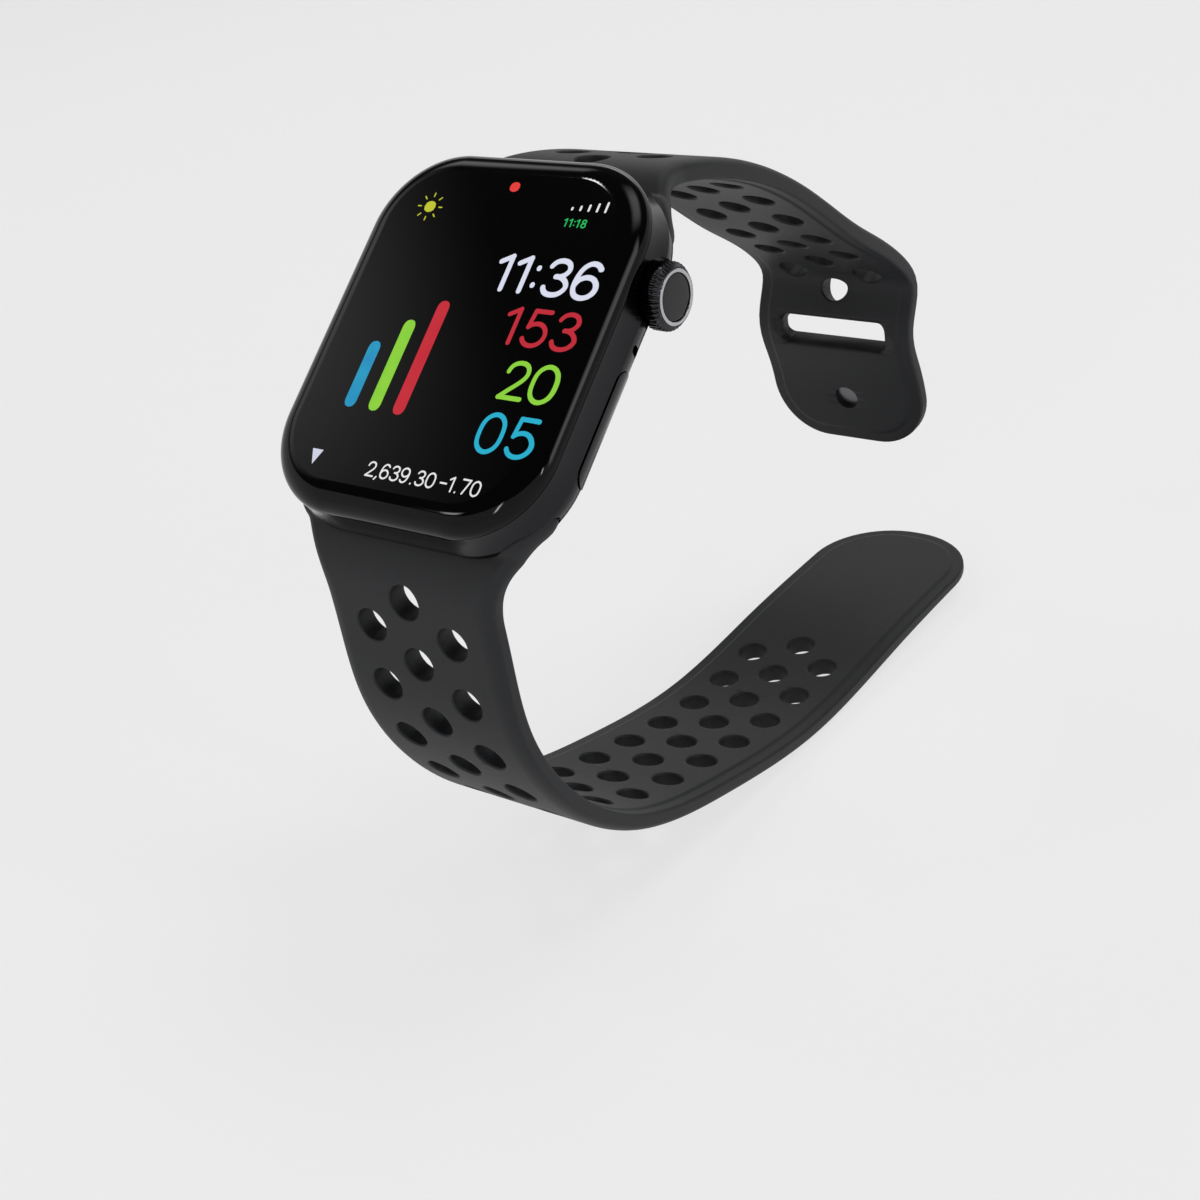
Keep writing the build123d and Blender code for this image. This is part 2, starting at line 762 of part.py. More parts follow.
export_step(side_button.part, "parts/side_button.step")

with BuildPart() as button_bracket:
    with BuildSketch(station(bracket_x)):
        with Locations((button_u, (floor_top + bracket_w) / 2)):
            Rectangle(button_length, bracket_w - floor_top - part_gap)
    extrude(amount=bracket_depth)
button_bracket.part.label = "button_bracket"
export_step(button_bracket.part, "parts/button_bracket.step")

with BuildPart() as button_switch:
    with BuildSketch(station(bracket_x + bracket_depth)):
        with Locations((button_u, button_w)):
            Rectangle(2.6, 1.8)
    extrude(amount=switch_face_x - bracket_x - bracket_depth)
button_switch.part.label = "button_switch"
export_step(button_switch.part, "parts/button_switch.step")

# ---------------------------------------------------------------- strap release
latch_height = 0.85
for end, side in (("upper", 1), ("lower", -1)):
    with BuildPart() as release_button:
        with BuildSketch(level(floor_level + running_clearance)):
            with Locations((0, side * release_u)):
                SlotOverall(release_length, release_width)
        extrude(amount=floor_thickness - 4 * running_clearance)
    release_button.part.label = f"{end}_release_button"
    export_step(release_button.part, f"parts/{end}_release_button.step")

    with BuildPart() as lug_latch:
        with BuildSketch(level(floor_top + release_travel + running_clearance)):
            with Locations((0, side * release_u)):
                RectangleRounded(release_length + 0.2, release_width + 0.2, 0.4)
        extrude(amount=latch_height)
    lug_latch.part.label = f"{end}_lug_latch"
    export_step(lug_latch.part, f"parts/{end}_lug_latch.step")

# ---------------------------------------------------------------- strap
neck_start = (half_height - 1.5, 3.15)
neck_end = (half_height + 0.5, 2.65)
lower_bends = [
    (-0.71, -7.57),
    (0.32, -19.60),
    (6.13, -31.76),
    (17.28, -41.84),
    (36.07, -48.19),
    (57.19, -51.54),
    (79.70, -50.46),
    (109.35, -49.30),
]
upper_bends = [
    (7.66, -0.13),
    (20.23, -4.08),
    (31.30, -10.36),
    (42.65, -18.72),
    (52.73, -25.78),
    (55.84, -30.35),
    (53.97, -35.91),
    (55.46, -42.57),
    (57.68, -54.69),
]
outline_spacing = 5.0
neck_straight = 2.5
neck_blend = 5.0


def strap_route(side, bends):
    """Middle line of a strap half, with Y and Z of the watch as x and y."""
    root_y, root_z = upright(side * neck_end[0], neck_end[1])
    return Spline(
        upright(side * neck_start[0], neck_start[1]),
        (root_y, root_z),
        *[(root_y + along_y, root_z + along_z) for along_y, along_z in bends],
    )


def strap_frame(route, distance, x=0.0):
    """Plane on the strap's middle surface: x across, y along, z through its thickness."""
    point = route.position_at(distance, position_mode=PositionMode.LENGTH)
    along = route.tangent_at(distance, position_mode=PositionMode.LENGTH)
    return Plane(origin=(x, point.X, point.Y), x_dir=across, z_dir=(0, -along.Y, along.X))


def strap_edges(route, taper):
    """Points along both faces of a strap half, from neck thickness to strap thickness to tail."""
    count = round(route.length / outline_spacing)
    faces = ([], [])
    for step in range(count + 1):
        distance = route.length * step / count
        left = max(0.0, distance - (route.length - taper)) if taper else 0.0
        share = left / taper if taper else 0.0
        grown = min(1.0, max(0.0, distance - neck_straight) / neck_blend)
        full = neck_thickness + (strap_thickness - neck_thickness) * grown
        half = (full + (tail_thickness - full) * share) / 2
        point = route.position_at(distance, position_mode=PositionMode.LENGTH)
        along = route.tangent_at(distance, position_mode=PositionMode.LENGTH)
        for face, sign in zip(faces, (1, -1)):
            face.append((point.X - sign * half * along.Y, point.Y + sign * half * along.X))
    return faces


def strap_blank(side, route, taper, perforations, pocket_top):
    """Strap half with its lug, flare, perforations and latch pocket."""
    top, bottom = strap_edges(route, taper)
    half_lug = lug_width / 2
    half_strap = strap_width / 2
    near = side * (lug_outer_u - flare_lap)
    far = side * (lug_outer_u + flare_length)
    with BuildSketch(Plane.YZ) as profile:
        with BuildLine():
            Spline(*top)
            Line(top[-1], bottom[-1])
            Spline(*bottom)
            Line(bottom[0], top[0])
        make_face()
    with BuildSketch(station(-half_lug)) as lug_section:
        lug_channel(side, lug_bulb_radius, neck_thickness / 2)
    with BuildSketch(level(-flare_length)) as flare_plan:
        with BuildLine():
            curve = Spline((half_lug, near), (half_strap, far), tangents=((-0.45, side), (0, side)))
            Line((half_strap, far), (-half_strap, far))
            mirror(curve, about=Plane.YZ)
            Line((-half_lug, near), (half_lug, near))
        make_face()
    with BuildPart() as neck:
        extrude(profile.sketch, amount=half_lug, both=True)
        extrude(lug_section.sketch, amount=lug_width)
        extrude(flare_plan.sketch, amount=2 * flare_length, mode=Mode.INTERSECT)
    with BuildPart() as bulb:
        extrude(lug_section.sketch, amount=lug_width)
        add(case_form.part, mode=Mode.INTERSECT)
    with BuildPart() as blank:
        extrude(profile.sketch, amount=half_strap, both=True)
        add(neck.part)
        add(bulb.part)
        for spot in perforations:
            with Locations(spot):
                Cylinder(perforation_diameter / 2, 3 * strap_thickness, mode=Mode.SUBTRACT)
        with BuildSketch(level(floor_level)):
            with Locations((0, side * release_u)):
                Rectangle(release_length + 0.6, release_width + 0.6)
        extrude(amount=pocket_top - floor_level, mode=Mode.SUBTRACT)
    return blank.part


def perforation_spots(route, end_margin):
    """Planes of the perforations: a middle column and two columns half a pitch further on."""
    spots = []
    distance = first_perforation
    while distance < route.length - end_margin:
        spots.append(strap_frame(route, distance))
        further = distance + perforation_pitch / 2
        if further < route.length - end_margin:
            spots.append(strap_frame(route, further, perforation_column))
            spots.append(strap_frame(route, further, -perforation_column))
        distance += perforation_pitch
    return spots


latch_pocket_top = floor_top + 2 * release_travel + latch_height + 0.3

lower_route = strap_route(-1, lower_bends)
lower_blank = strap_blank(
    -1, lower_route, tail_taper_length, perforation_spots(lower_route, plain_tail), latch_pocket_top
)
tail_y, tail_z = (lower_route @ 1).X, (lower_route @ 1).Y
with BuildPart() as strap_lower:
    add(lower_blank)
    with BuildSketch(Plane.XY.offset(tail_z - 10)):
        with Locations((0, tail_y)):
            Rectangle(2 * strap_width, 2 * tail_tip_radius)
        with Locations((0, tail_y - strap_width)):
            RectangleRounded(strap_width, 2 * strap_width, tail_tip_radius, mode=Mode.SUBTRACT)
    extrude(amount=20, mode=Mode.SUBTRACT)
strap_lower.part.label = "strap_lower"
export_step(strap_lower.part, "parts/strap_lower.step")

upper_route = strap_route(1, upper_bends)
slot_distance = upper_route.length - tuck_slot_setback
stud_frame = strap_frame(upper_route, upper_route.length - stud_setback)
upper_blank = strap_blank(
    1, upper_route, 0, perforation_spots(upper_route, tuck_slot_setback + 6), latch_pocket_top
)
end_y, end_z = (upper_route @ 1).X, (upper_route @ 1).Y
stud_flange_radius = 3.6
stud_flange_height = 0.6
stud_clearance = 0.05
with BuildPart() as strap_upper:
    add(upper_blank)
    with Locations(strap_frame(upper_route, slot_distance)):
        Box(tuck_slot_width, tuck_slot_height, 3 * strap_thickness, mode=Mode.SUBTRACT)
    with BuildSketch(stud_frame.offset(-strap_thickness)):
        Circle(stud_diameter / 2 + stud_clearance)
    extrude(amount=2 * strap_thickness, mode=Mode.SUBTRACT)
    with BuildSketch(stud_frame.offset(-strap_thickness)):
        Circle(stud_flange_radius + stud_clearance)
    extrude(amount=strap_thickness / 2 + stud_flange_height + stud_clearance, mode=Mode.SUBTRACT)
    with BuildSketch(Plane.XZ):
        with Locations((0, end_z)):
            Rectangle(2 * strap_width, 2 * end_corner)
        with Locations((0, end_z + strap_width)):
            RectangleRounded(strap_width, 2 * strap_width, end_corner, mode=Mode.SUBTRACT)
    extrude(amount=-2 * end_y, mode=Mode.SUBTRACT)
strap_upper.part.label = "strap_upper"
export_step(strap_upper.part, "parts/strap_upper.step")

stud_head_height = 0.9
stud_rim_radius = 0.35
with BuildPart() as closure_stud:
    with BuildSketch(stud_frame.offset(-strap_thickness / 2)):
        Circle(stud_flange_radius)
    extrude(amount=stud_flange_height)
    with BuildSketch(stud_frame.offset(-strap_thickness / 2)):
        Circle(stud_diameter / 2)
    extrude(amount=2 * strap_thickness + stud_head_height)
    with BuildSketch(stud_frame.offset(1.5 * strap_thickness)):
        Circle(stud_head_diameter / 2)
    extrude(amount=stud_head_height)
    rims = closure_stud.edges().filter_by(GeomType.CIRCLE)
    fillet(rims.sort_by(Axis(stud_frame.origin, stud_frame.z_dir))[-1], stud_rim_radius)
closure_stud.part.label = "closure_stud"
export_step(closure_stud.part, "parts/closure_stud.step")
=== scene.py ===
import math

import bmesh
import bpy
import numpy as np
from mathutils import Matrix, Vector


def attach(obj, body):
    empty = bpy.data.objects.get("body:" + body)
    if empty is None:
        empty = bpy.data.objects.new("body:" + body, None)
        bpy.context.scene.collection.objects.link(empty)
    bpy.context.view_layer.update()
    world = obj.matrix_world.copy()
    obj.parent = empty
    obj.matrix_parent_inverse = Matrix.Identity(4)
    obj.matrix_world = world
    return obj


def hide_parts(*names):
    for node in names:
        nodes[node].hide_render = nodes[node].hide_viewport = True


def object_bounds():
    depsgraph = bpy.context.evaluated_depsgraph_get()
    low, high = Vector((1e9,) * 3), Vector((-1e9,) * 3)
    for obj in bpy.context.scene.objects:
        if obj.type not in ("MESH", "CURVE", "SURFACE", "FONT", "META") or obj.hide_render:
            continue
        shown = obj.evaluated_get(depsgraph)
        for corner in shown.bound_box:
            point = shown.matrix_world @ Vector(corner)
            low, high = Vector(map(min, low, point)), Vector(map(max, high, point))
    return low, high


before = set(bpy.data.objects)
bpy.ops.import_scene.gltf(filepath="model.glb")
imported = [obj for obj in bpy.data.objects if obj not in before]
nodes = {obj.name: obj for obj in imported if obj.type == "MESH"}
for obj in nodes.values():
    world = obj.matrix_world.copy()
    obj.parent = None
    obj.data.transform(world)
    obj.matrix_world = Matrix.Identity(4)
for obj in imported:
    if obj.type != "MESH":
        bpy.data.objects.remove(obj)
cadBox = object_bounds()
scene = bpy.context.scene
scene.view_settings.view_transform = "Standard"
print("frame loaded:", len(nodes), "CAD nodes")

# The watch's own directions: x towards the crown, u up the display, w out of the glass.
mm = 0.001
lean = math.radians(50)
alongU = Vector((0, math.sin(lean), math.cos(lean)))
alongW = Vector((0, -math.cos(lean), math.sin(lean)))


def inWatch(x, u, w):
    return Vector((x, 0, 0)) * mm + (alongU * u + alongW * w) * mm


def watchTurn():
    # turns local x, y, z into the watch's x, u, w
    return Matrix((Vector((1, 0, 0)), alongU, alongW)).transposed().to_4x4()


def fromHex(text):
    # sRGB hex to the linear colour a shader socket takes
    parts = [int(text[i : i + 2], 16) / 255 for i in (1, 3, 5)]
    return [c / 12.92 if c <= 0.04045 else ((c + 0.055) / 1.055) ** 2.4 for c in parts] + [1.0]


def addNode(tree, kind, settings=None, links=None):
    # settings go to a socket where the node has one of that name or number, or else to the node itself
    node = tree.nodes.new(kind)
    for name, value in (settings or {}).items():
        if isinstance(name, int) or name in node.inputs:
            node.inputs[name].default_value = value
        else:
            setattr(node, name, value)
    for name, source in (links or {}).items():
        tree.links.new(source, node.inputs[name])
    return node


def startMaterial(name):
    material = bpy.data.materials.new(name)
    material.use_nodes = True
    material.node_tree.nodes.clear()
    return material, material.node_tree


def endMaterial(tree, shader):
    addNode(tree, "ShaderNodeOutputMaterial", None, {"Surface": shader.outputs[0]})


def makeFinish(name, finish):
    # a base colour that drifts to a second one, uneven gloss, and a fine relief
    material, tree = startMaterial(name)
    place = addNode(tree, "ShaderNodeTexCoord")
    stretch = addNode(tree, "ShaderNodeMapping", {"Scale": finish.get("stretch", (1, 1, 1))},
                      {"Vector": place.outputs["Object"]})
    drift = addNode(tree, "ShaderNodeTexNoise",
                    {"Scale": 1 / (finish.get("drift", 9.0) * mm), "Detail": 3.0, "Roughness": 0.55},
                    {"Vector": stretch.outputs[0]})
    colour = addNode(tree, "ShaderNodeMix",
                     {"data_type": "RGBA", 6: fromHex(finish["colour"]), 7: fromHex(finish["second"])},
                     {0: drift.outputs["Fac"]})
    grain = addNode(tree, "ShaderNodeTexNoise",
                    {"Scale": 1 / (finish["grain"] * mm), "Detail": 4.0, "Roughness": 0.6},
                    {"Vector": stretch.outputs[0]})
    swing = finish.get("swing", 0.04)
    gloss = addNode(tree, "ShaderNodeMapRange",
                    {"From Min": 0.3, "From Max": 0.7, "To Min": finish["roughness"] - swing,
                     "To Max": finish["roughness"] + swing},
                    {"Value": grain.outputs["Fac"]})
    relief = addNode(tree, "ShaderNodeBump",
                     {"Strength": finish.get("relief", 0.1), "Distance": finish.get("depth", 0.02) * mm},
                     {"Height": grain.outputs["Fac"]})
    shader = addNode(tree, "ShaderNodeBsdfPrincipled",
                     {"Metallic": finish.get("metallic", 0.0)},
                     {"Base Color": colour.outputs[2], "Roughness": gloss.outputs[0],
                      "Normal": relief.outputs[0]})
    for socket in ("IOR", "Coat Weight"):
        if socket in finish:
            shader.inputs[socket].default_value = finish[socket]
    endMaterial(tree, shader)
    return material


# lens and sensor in mm, place in mm, the way it looks, roll in degrees, clipping in metres
cameraSet = {"lens": 57.0, "sensor": 36, "place": (132.54, -146.18, 73.47),
             "ahead": (-0.5726, 0.6777, -0.4613), "roll": -8.57, "clip": (0.005, 20)}
camera = bpy.data.objects.new("camera", bpy.data.cameras.new("camera"))
scene.collection.objects.link(camera)
scene.camera = camera
camera.data.lens = cameraSet["lens"]
camera.data.sensor_width = cameraSet["sensor"]
camera.data.clip_start, camera.data.clip_end = cameraSet["clip"]
facing = Vector(cameraSet["ahead"]).to_track_quat("-Z", "Y").to_matrix().to_4x4()
camera.matrix_world = (Matrix.Translation(Vector(cameraSet["place"]) * mm) @ facing
                       @ Matrix.Rotation(math.radians(cameraSet["roll"]), 4, "Z"))
print("camera placed, right vector", [round(v, 4) for v in camera.matrix_world.col[0][:3]])

# one round cove with soft boxes over it; lengths in mm
studio = {
    "coveRadius": 1500, "coveHeight": 720, "coveBend": 260, "coveMiddle": 350,
    "coveSteps": 64, "bendSteps": 8, "cove": "#F6F6F6",
    # what the camera and reflections see of the cove: share of plain white, the rest keeps the shadow
    "paper": "#FFFFFF", "paperShare": 0.7,
    "world": "#FFFFFF", "worldStrength": 0.07,
    # every box looks here; its light fades over this share of each side and is raised to make up for it
    "aim": (0, 20, -10), "fade": 0.4, "fadeGain": 2.4,
    # name: place, size, watts
    "boxes": {
        "overhead": ((180, 330, 900), (900, 700), 2.5),
        "leftSide": ((-780, -130, 590), (560, 460), 0.5),
        "rightStrip": ((620, 60, 330), (240, 620), 0.8),
        "frontStrip": ((150, -680, 190), (60, 260), 0.5),
        "window": ((640, -200, 250), (50, 160), 0.32),
        "frontLeft": ((-400, -530, 360), (220, 80), 0.3),
        "topSoft": ((-640, 300, 700), (500, 260), 0.35),
        "sparkle": ((-573, -60, 827), (70, 70), 0.3),
        "behind": ((-350, 820, 420), (700, 240), 0.5),
    },
}


def makeCove():
    # flat floor, rounded into an upright wall, spun about the watch
    bm = bmesh.new()
    low = cadBox[0].z
    reach, rise, bend, middle = (studio[k] * mm
                                 for k in ("coveRadius", "coveHeight", "coveBend", "coveMiddle"))
    profile = [bm.verts.new((along, 0, low)) for along in (0, middle, reach - bend)]
    for step in range(1, studio["bendSteps"] + 1):
        turn = math.radians(90 * step / studio["bendSteps"])
        profile.append(bm.verts.new((reach - bend + bend * math.sin(turn), 0,
                                     low + bend - bend * math.cos(turn))))
    profile.append(bm.verts.new((reach, 0, low + rise)))
    edges = [bm.edges.new(pair) for pair in zip(profile, profile[1:])]
    bmesh.ops.spin(bm, geom=profile + edges, cent=(0, 0, 0), axis=(0, 0, 1), angle=math.tau,
                   steps=studio["coveSteps"], use_merge=True)
    bmesh.ops.remove_doubles(bm, verts=bm.verts, dist=1e-6)
    bmesh.ops.recalc_face_normals(bm, faces=bm.faces)
    bmesh.ops.reverse_faces(bm, faces=[f for f in bm.faces if f.normal.z < -0.5])  # the floor looks up
    mesh = bpy.data.meshes.new("cove")
    bm.to_mesh(mesh)
    bm.free()
    for face in mesh.polygons:
        face.use_smooth = True
    cove = bpy.data.objects.new("cove", mesh)
    scene.collection.objects.link(cove)
    # board painted matt: even and near white, with the watch's soft shadow on it
    material, tree = startMaterial("mattPaintedCove")
    paint = addNode(tree, "ShaderNodeBsdfDiffuse", {"Color": fromHex(studio["cove"])})
    paper = addNode(tree, "ShaderNodeEmission", {"Color": fromHex(studio["paper"]), "Strength": 1.0})
    ray = addNode(tree, "ShaderNodeLightPath")
    seen = addNode(tree, "ShaderNodeMath", {"operation": "MAXIMUM"},
                   {0: ray.outputs["Is Camera Ray"], 1: ray.outputs["Is Glossy Ray"]})
    seen = addNode(tree, "ShaderNodeMath", {"operation": "MAXIMUM"},
                   {0: seen.outputs[0], 1: ray.outputs["Is Transmission Ray"]})
    share = addNode(tree, "ShaderNodeMath", {"operation": "MULTIPLY", 1: studio["paperShare"]},
                    {0: seen.outputs[0]})
    both = addNode(tree, "ShaderNodeMixShader", None,
                   {0: share.outputs[0], 1: paint.outputs[0], 2: paper.outputs[0]})
    endMaterial(tree, both)
    mesh.materials.append(material)


def softenBox(lamp):
    # the box's light fades towards its edges, as behind cloth
    lamp.use_nodes = True
    tree = lamp.node_tree
    tree.nodes.clear()
    place = addNode(tree, "ShaderNodeNewGeometry")
    sides = addNode(tree, "ShaderNodeSeparateXYZ", None, {0: place.outputs["Parametric"]})
    fades = []
    for axis in (0, 1):
        rise, fall = (addNode(tree, "ShaderNodeMapRange",
                              {"interpolation_type": "SMOOTHSTEP", "From Min": edge, "From Max": full},
                              {"Value": sides.outputs[axis]})
                      for edge, full in ((0.0, studio["fade"]), (1.0, 1 - studio["fade"])))
        fades.append(addNode(tree, "ShaderNodeMath", {"operation": "MULTIPLY"},
                             {0: rise.outputs[0], 1: fall.outputs[0]}))
    fade = addNode(tree, "ShaderNodeMath", {"operation": "MULTIPLY"},
                   {0: fades[0].outputs[0], 1: fades[1].outputs[0]})
    level = addNode(tree, "ShaderNodeMath", {"operation": "MULTIPLY", 1: studio["fadeGain"]},
                    {0: fade.outputs[0]})
    glow = addNode(tree, "ShaderNodeEmission", None, {"Strength": level.outputs[0]})
    addNode(tree, "ShaderNodeOutputLight", None, {"Surface": glow.outputs[0]})


def makeLights():
    aim = Vector(studio["aim"]) * mm
    for name, (place, size, watts) in studio["boxes"].items():
        lamp = bpy.data.lights.new(name, "AREA")
        lamp.shape = "RECTANGLE"
        lamp.size, lamp.size_y = size[0] * mm, size[1] * mm
        lamp.energy = watts
        softenBox(lamp)
        box = bpy.data.objects.new(name, lamp)
        box.location = Vector(place) * mm
        box.rotation_euler = (aim - box.location).to_track_quat("-Z", "Y").to_euler()
        scene.collection.objects.link(box)
    world = bpy.data.worlds.new("softRoom")
    scene.world = world
    world.use_nodes = True
    world.node_tree.nodes.clear()
    sky = addNode(world.node_tree, "ShaderNodeBackground",
                  {"Color": fromHex(studio["world"]), "Strength": studio["worldStrength"]})
    addNode(world.node_tree, "ShaderNodeOutputWorld", None, {"Surface": sky.outputs[0]})


makeCove()
makeLights()
print("studio built")

# one finish for each material slot of the CAD nodes; grain, depth and drift in mm
finishes = {
    # anodised aluminium, polished then dyed black: deep grey mirror, softened by fine pores
    "case_alloy": ("anodisedAluminiumBlack", {
        "colour": "#2B2B2D", "second": "#313133", "roughness": 0.18, "swing": 0.03, "metallic": 1.0,
        "grain": 0.12, "relief": 0.04, "depth": 0.01, "drift": 14.0}),
    # toughened glass over a black display, polished: black, with one sharp reflection
    "cover_glass": ("toughenedGlassPolished", {
        "colour": "#030304", "second": "#050506", "roughness": 0.05, "swing": 0.015, "grain": 6.0,
        "relief": 0.0, "IOR": 1.27}),
    # zirconia, fired and polished: black gloss, a little wavy
    "back_ceramic": ("zirconiaPolished", {
        "colour": "#161618", "second": "#1B1B1E", "roughness": 0.1, "swing": 0.02, "grain": 1.6,
        "relief": 0.02, "IOR": 2.1}),
    # tinted sapphire, lapped: darker and sharper than the ceramic round it
    "back_glass": ("sapphireTinted", {
        "colour": "#0B0B0E", "second": "#101014", "roughness": 0.05, "swing": 0.01, "grain": 3.0,
        "relief": 0.0, "IOR": 1.77}),
    # fluoroelastomer, compression moulded in a blasted mould: soft charcoal, almost no shine
    "strap_rubber": ("fluoroelastomerMoulded", {
        "colour": "#1B1C1F", "second": "#202124", "roughness": 0.56, "swing": 0.05, "grain": 0.16,
        "relief": 0.16, "depth": 0.02, "drift": 11.0, "IOR": 1.42}),
    # stainless steel, knurled and black coated: near black, bright on every rib
    "crown_metal": ("steelBlackCoated", {
        "colour": "#38383B", "second": "#404043", "roughness": 0.1, "swing": 0.03, "metallic": 1.0,
        "grain": 0.15, "relief": 0.03, "depth": 0.01}),
    # stainless steel, turned: satin grey ring
    "crown_ring_metal": ("steelTurnedSatin", {
        "colour": "#B2B2B5", "second": "#BDBDC0", "roughness": 0.26, "swing": 0.05, "metallic": 1.0,
        "grain": 0.08, "relief": 0.05, "depth": 0.01}),
    # sapphire disc, tinted and polished: near black, grey only where a lamp lies in it
    "crown_face": ("sapphireDiscDark", {
        "colour": "#0D0D0E", "second": "#111112", "roughness": 0.1, "swing": 0.02, "grain": 0.9,
        "relief": 0.0, "IOR": 1.38}),
    # anodised aluminium, bead blasted: even mid grey with a soft shine
    "stud_metal": ("aluminiumStudBlasted", {
        "colour": "#6A6A6E", "second": "#747478", "roughness": 0.34, "swing": 0.05, "metallic": 1.0,
        "grain": 0.08, "relief": 0.1, "depth": 0.01}),
    # stainless steel sheet, stamped and tumbled: bright grey with blurred reflections
    "steel": ("stainlessStamped", {
        "colour": "#A9A9AB", "second": "#B8B8BA", "roughness": 0.3, "swing": 0.06, "metallic": 1.0,
        "grain": 0.2, "relief": 0.06, "depth": 0.01}),
    # silicone, moulded: dull black
    "seal_rubber": ("siliconeMoulded", {
        "colour": "#121213", "second": "#171718", "roughness": 0.6, "swing": 0.04, "grain": 0.1,
        "relief": 0.08, "IOR": 1.41}),
    # epoxy resin, transfer moulded: dull black with a fine grit
    "package": ("epoxyMoulded", {
        "colour": "#19191A", "second": "#202022", "roughness": 0.5, "swing": 0.06, "grain": 0.06,
        "relief": 0.12}),
    # aluminium laminate film, pressed round the cells: dull silver, slightly wavy
    "battery_pouch": ("laminateFilmPressed", {
        "colour": "#8D8D90", "second": "#9A9A9D", "roughness": 0.42, "swing": 0.06, "metallic": 0.6,
        "grain": 0.5, "relief": 0.2, "depth": 0.04}),
    # display laminate, unlit: black and even
    "panel_face": ("displayLaminate", {
        "colour": "#08080A", "second": "#0B0B0D", "roughness": 0.12, "swing": 0.02, "grain": 2.0,
        "relief": 0.0}),
    # ferrite sheet, sintered: dark brown grey, dusty
    "ferrite": ("ferriteSintered", {
        "colour": "#2E2A2A", "second": "#383332", "roughness": 0.7, "swing": 0.06, "grain": 0.07,
        "relief": 0.2}),
    # polyimide film, laminated over copper: smooth amber
    "flex": ("polyimideFilm", {
        "colour": "#9A5A1E", "second": "#A96A28", "roughness": 0.34, "swing": 0.04, "grain": 0.6,
        "relief": 0.03}),
    # tungsten heavy alloy, sintered and ground: mid grey with fine lines from the wheel
    "tungsten": ("heavyAlloyGround", {
        "colour": "#6F6F73", "second": "#7C7C80", "roughness": 0.38, "swing": 0.06, "metallic": 1.0,
        "grain": 0.1, "relief": 0.1, "stretch": (1, 1, 6)}),
    # clear epoxy cast over green chips: bright green under a glossy coat
    "led_resin": ("epoxyClearGreen", {
        "colour": "#2F9A4C", "second": "#46B563", "roughness": 0.14, "swing": 0.03, "grain": 0.4,
        "relief": 0.02, "Coat Weight": 0.6}),
}
made = {slot: makeFinish(name, finish) for slot, (name, finish) in finishes.items()}


def makeBoard():
    # glass epoxy board, solder masked: dark green, with raised copper traces in a fine brick pattern
    material, tree = startMaterial("glassEpoxySolderMask")
    place = addNode(tree, "ShaderNodeTexCoord")
    traces = addNode(tree, "ShaderNodeTexBrick",
                     {"Scale": 1 / (1.2 * mm), "Mortar Size": 0.06, "Bias": -0.2,
                      "Color1": fromHex("#17402B"), "Color2": fromHex("#1B4A32"),
                      "Mortar": fromHex("#2C6E48")},
                     {"Vector": place.outputs["Object"]})
    relief = addNode(tree, "ShaderNodeBump", {"Strength": 0.3, "Distance": 0.02 * mm},
                     {"Height": traces.outputs["Fac"]})
    shader = addNode(tree, "ShaderNodeBsdfPrincipled", {"Roughness": 0.32},
                     {"Base Color": traces.outputs["Color"], "Normal": relief.outputs[0]})
    endMaterial(tree, shader)
    return material


def makeWinding():
    # copper wire, enamelled and wound flat: red-brown rings 0.25 mm apart about the back's middle
    material, tree = startMaterial("copperWireEnamelled")
    place = addNode(tree, "ShaderNodeTexCoord")
    turned = addNode(tree, "ShaderNodeMapping", {"Rotation": (lean - math.pi / 2, 0, 0)},
                     {"Vector": place.outputs["Object"]})
    rings = addNode(tree, "ShaderNodeTexWave",
                    {"wave_type": "RINGS", "rings_direction": "Z",
                     "Scale": 0.314 / (0.25 * mm)},  # rings of this texture lie 0.314 / scale apart
                    {"Vector": turned.outputs[0]})
    colour = addNode(tree, "ShaderNodeMix",
                     {"data_type": "RGBA", 6: fromHex("#6E2F17"), 7: fromHex("#C4733F")},
                     {0: rings.outputs["Fac"]})
    relief = addNode(tree, "ShaderNodeBump", {"Strength": 0.6, "Distance": 0.08 * mm},
                     {"Height": rings.outputs["Fac"]})
    shader = addNode(tree, "ShaderNodeBsdfPrincipled", {"Roughness": 0.25, "Metallic": 0.9},
                     {"Base Color": colour.outputs[2], "Normal": relief.outputs[0]})
    endMaterial(tree, shader)
    return material


def makeWovenMesh():
    # steel cloth, woven and blackened: a dark grid, drawn 0.2 mm apart, as coarse as it needs to show
    material, tree = startMaterial("steelClothBlackened")
    place = addNode(tree, "ShaderNodeTexCoord")
    turned = addNode(tree, "ShaderNodeMapping", {"Rotation": (0, math.radians(90), 0)},
                     {"Vector": place.outputs["Object"]})
    weave = addNode(tree, "ShaderNodeTexChecker",
                    {"Scale": 1 / (0.2 * mm), "Color1": fromHex("#2A2A2C"), "Color2": fromHex("#0A0A0B")},
                    {"Vector": turned.outputs[0]})
    relief = addNode(tree, "ShaderNodeBump", {"Strength": 0.5, "Distance": 0.05 * mm},
                     {"Height": weave.outputs["Fac"]})
    shader = addNode(tree, "ShaderNodeBsdfPrincipled", {"Roughness": 0.45, "Metallic": 0.8},
                     {"Base Color": weave.outputs["Color"], "Normal": relief.outputs[0]})
    endMaterial(tree, shader)
    return material


made["board"] = makeBoard()
made["copper"] = makeWinding()
made["mesh"] = makeWovenMesh()

slotOf = {}
for node in nodes.values():
    for place in node.material_slots:
        slotOf[node.name] = place.material.name.split(".")[0]
        place.material = made[slotOf[node.name]]
print("finishes on CAD nodes:", len(slotOf))


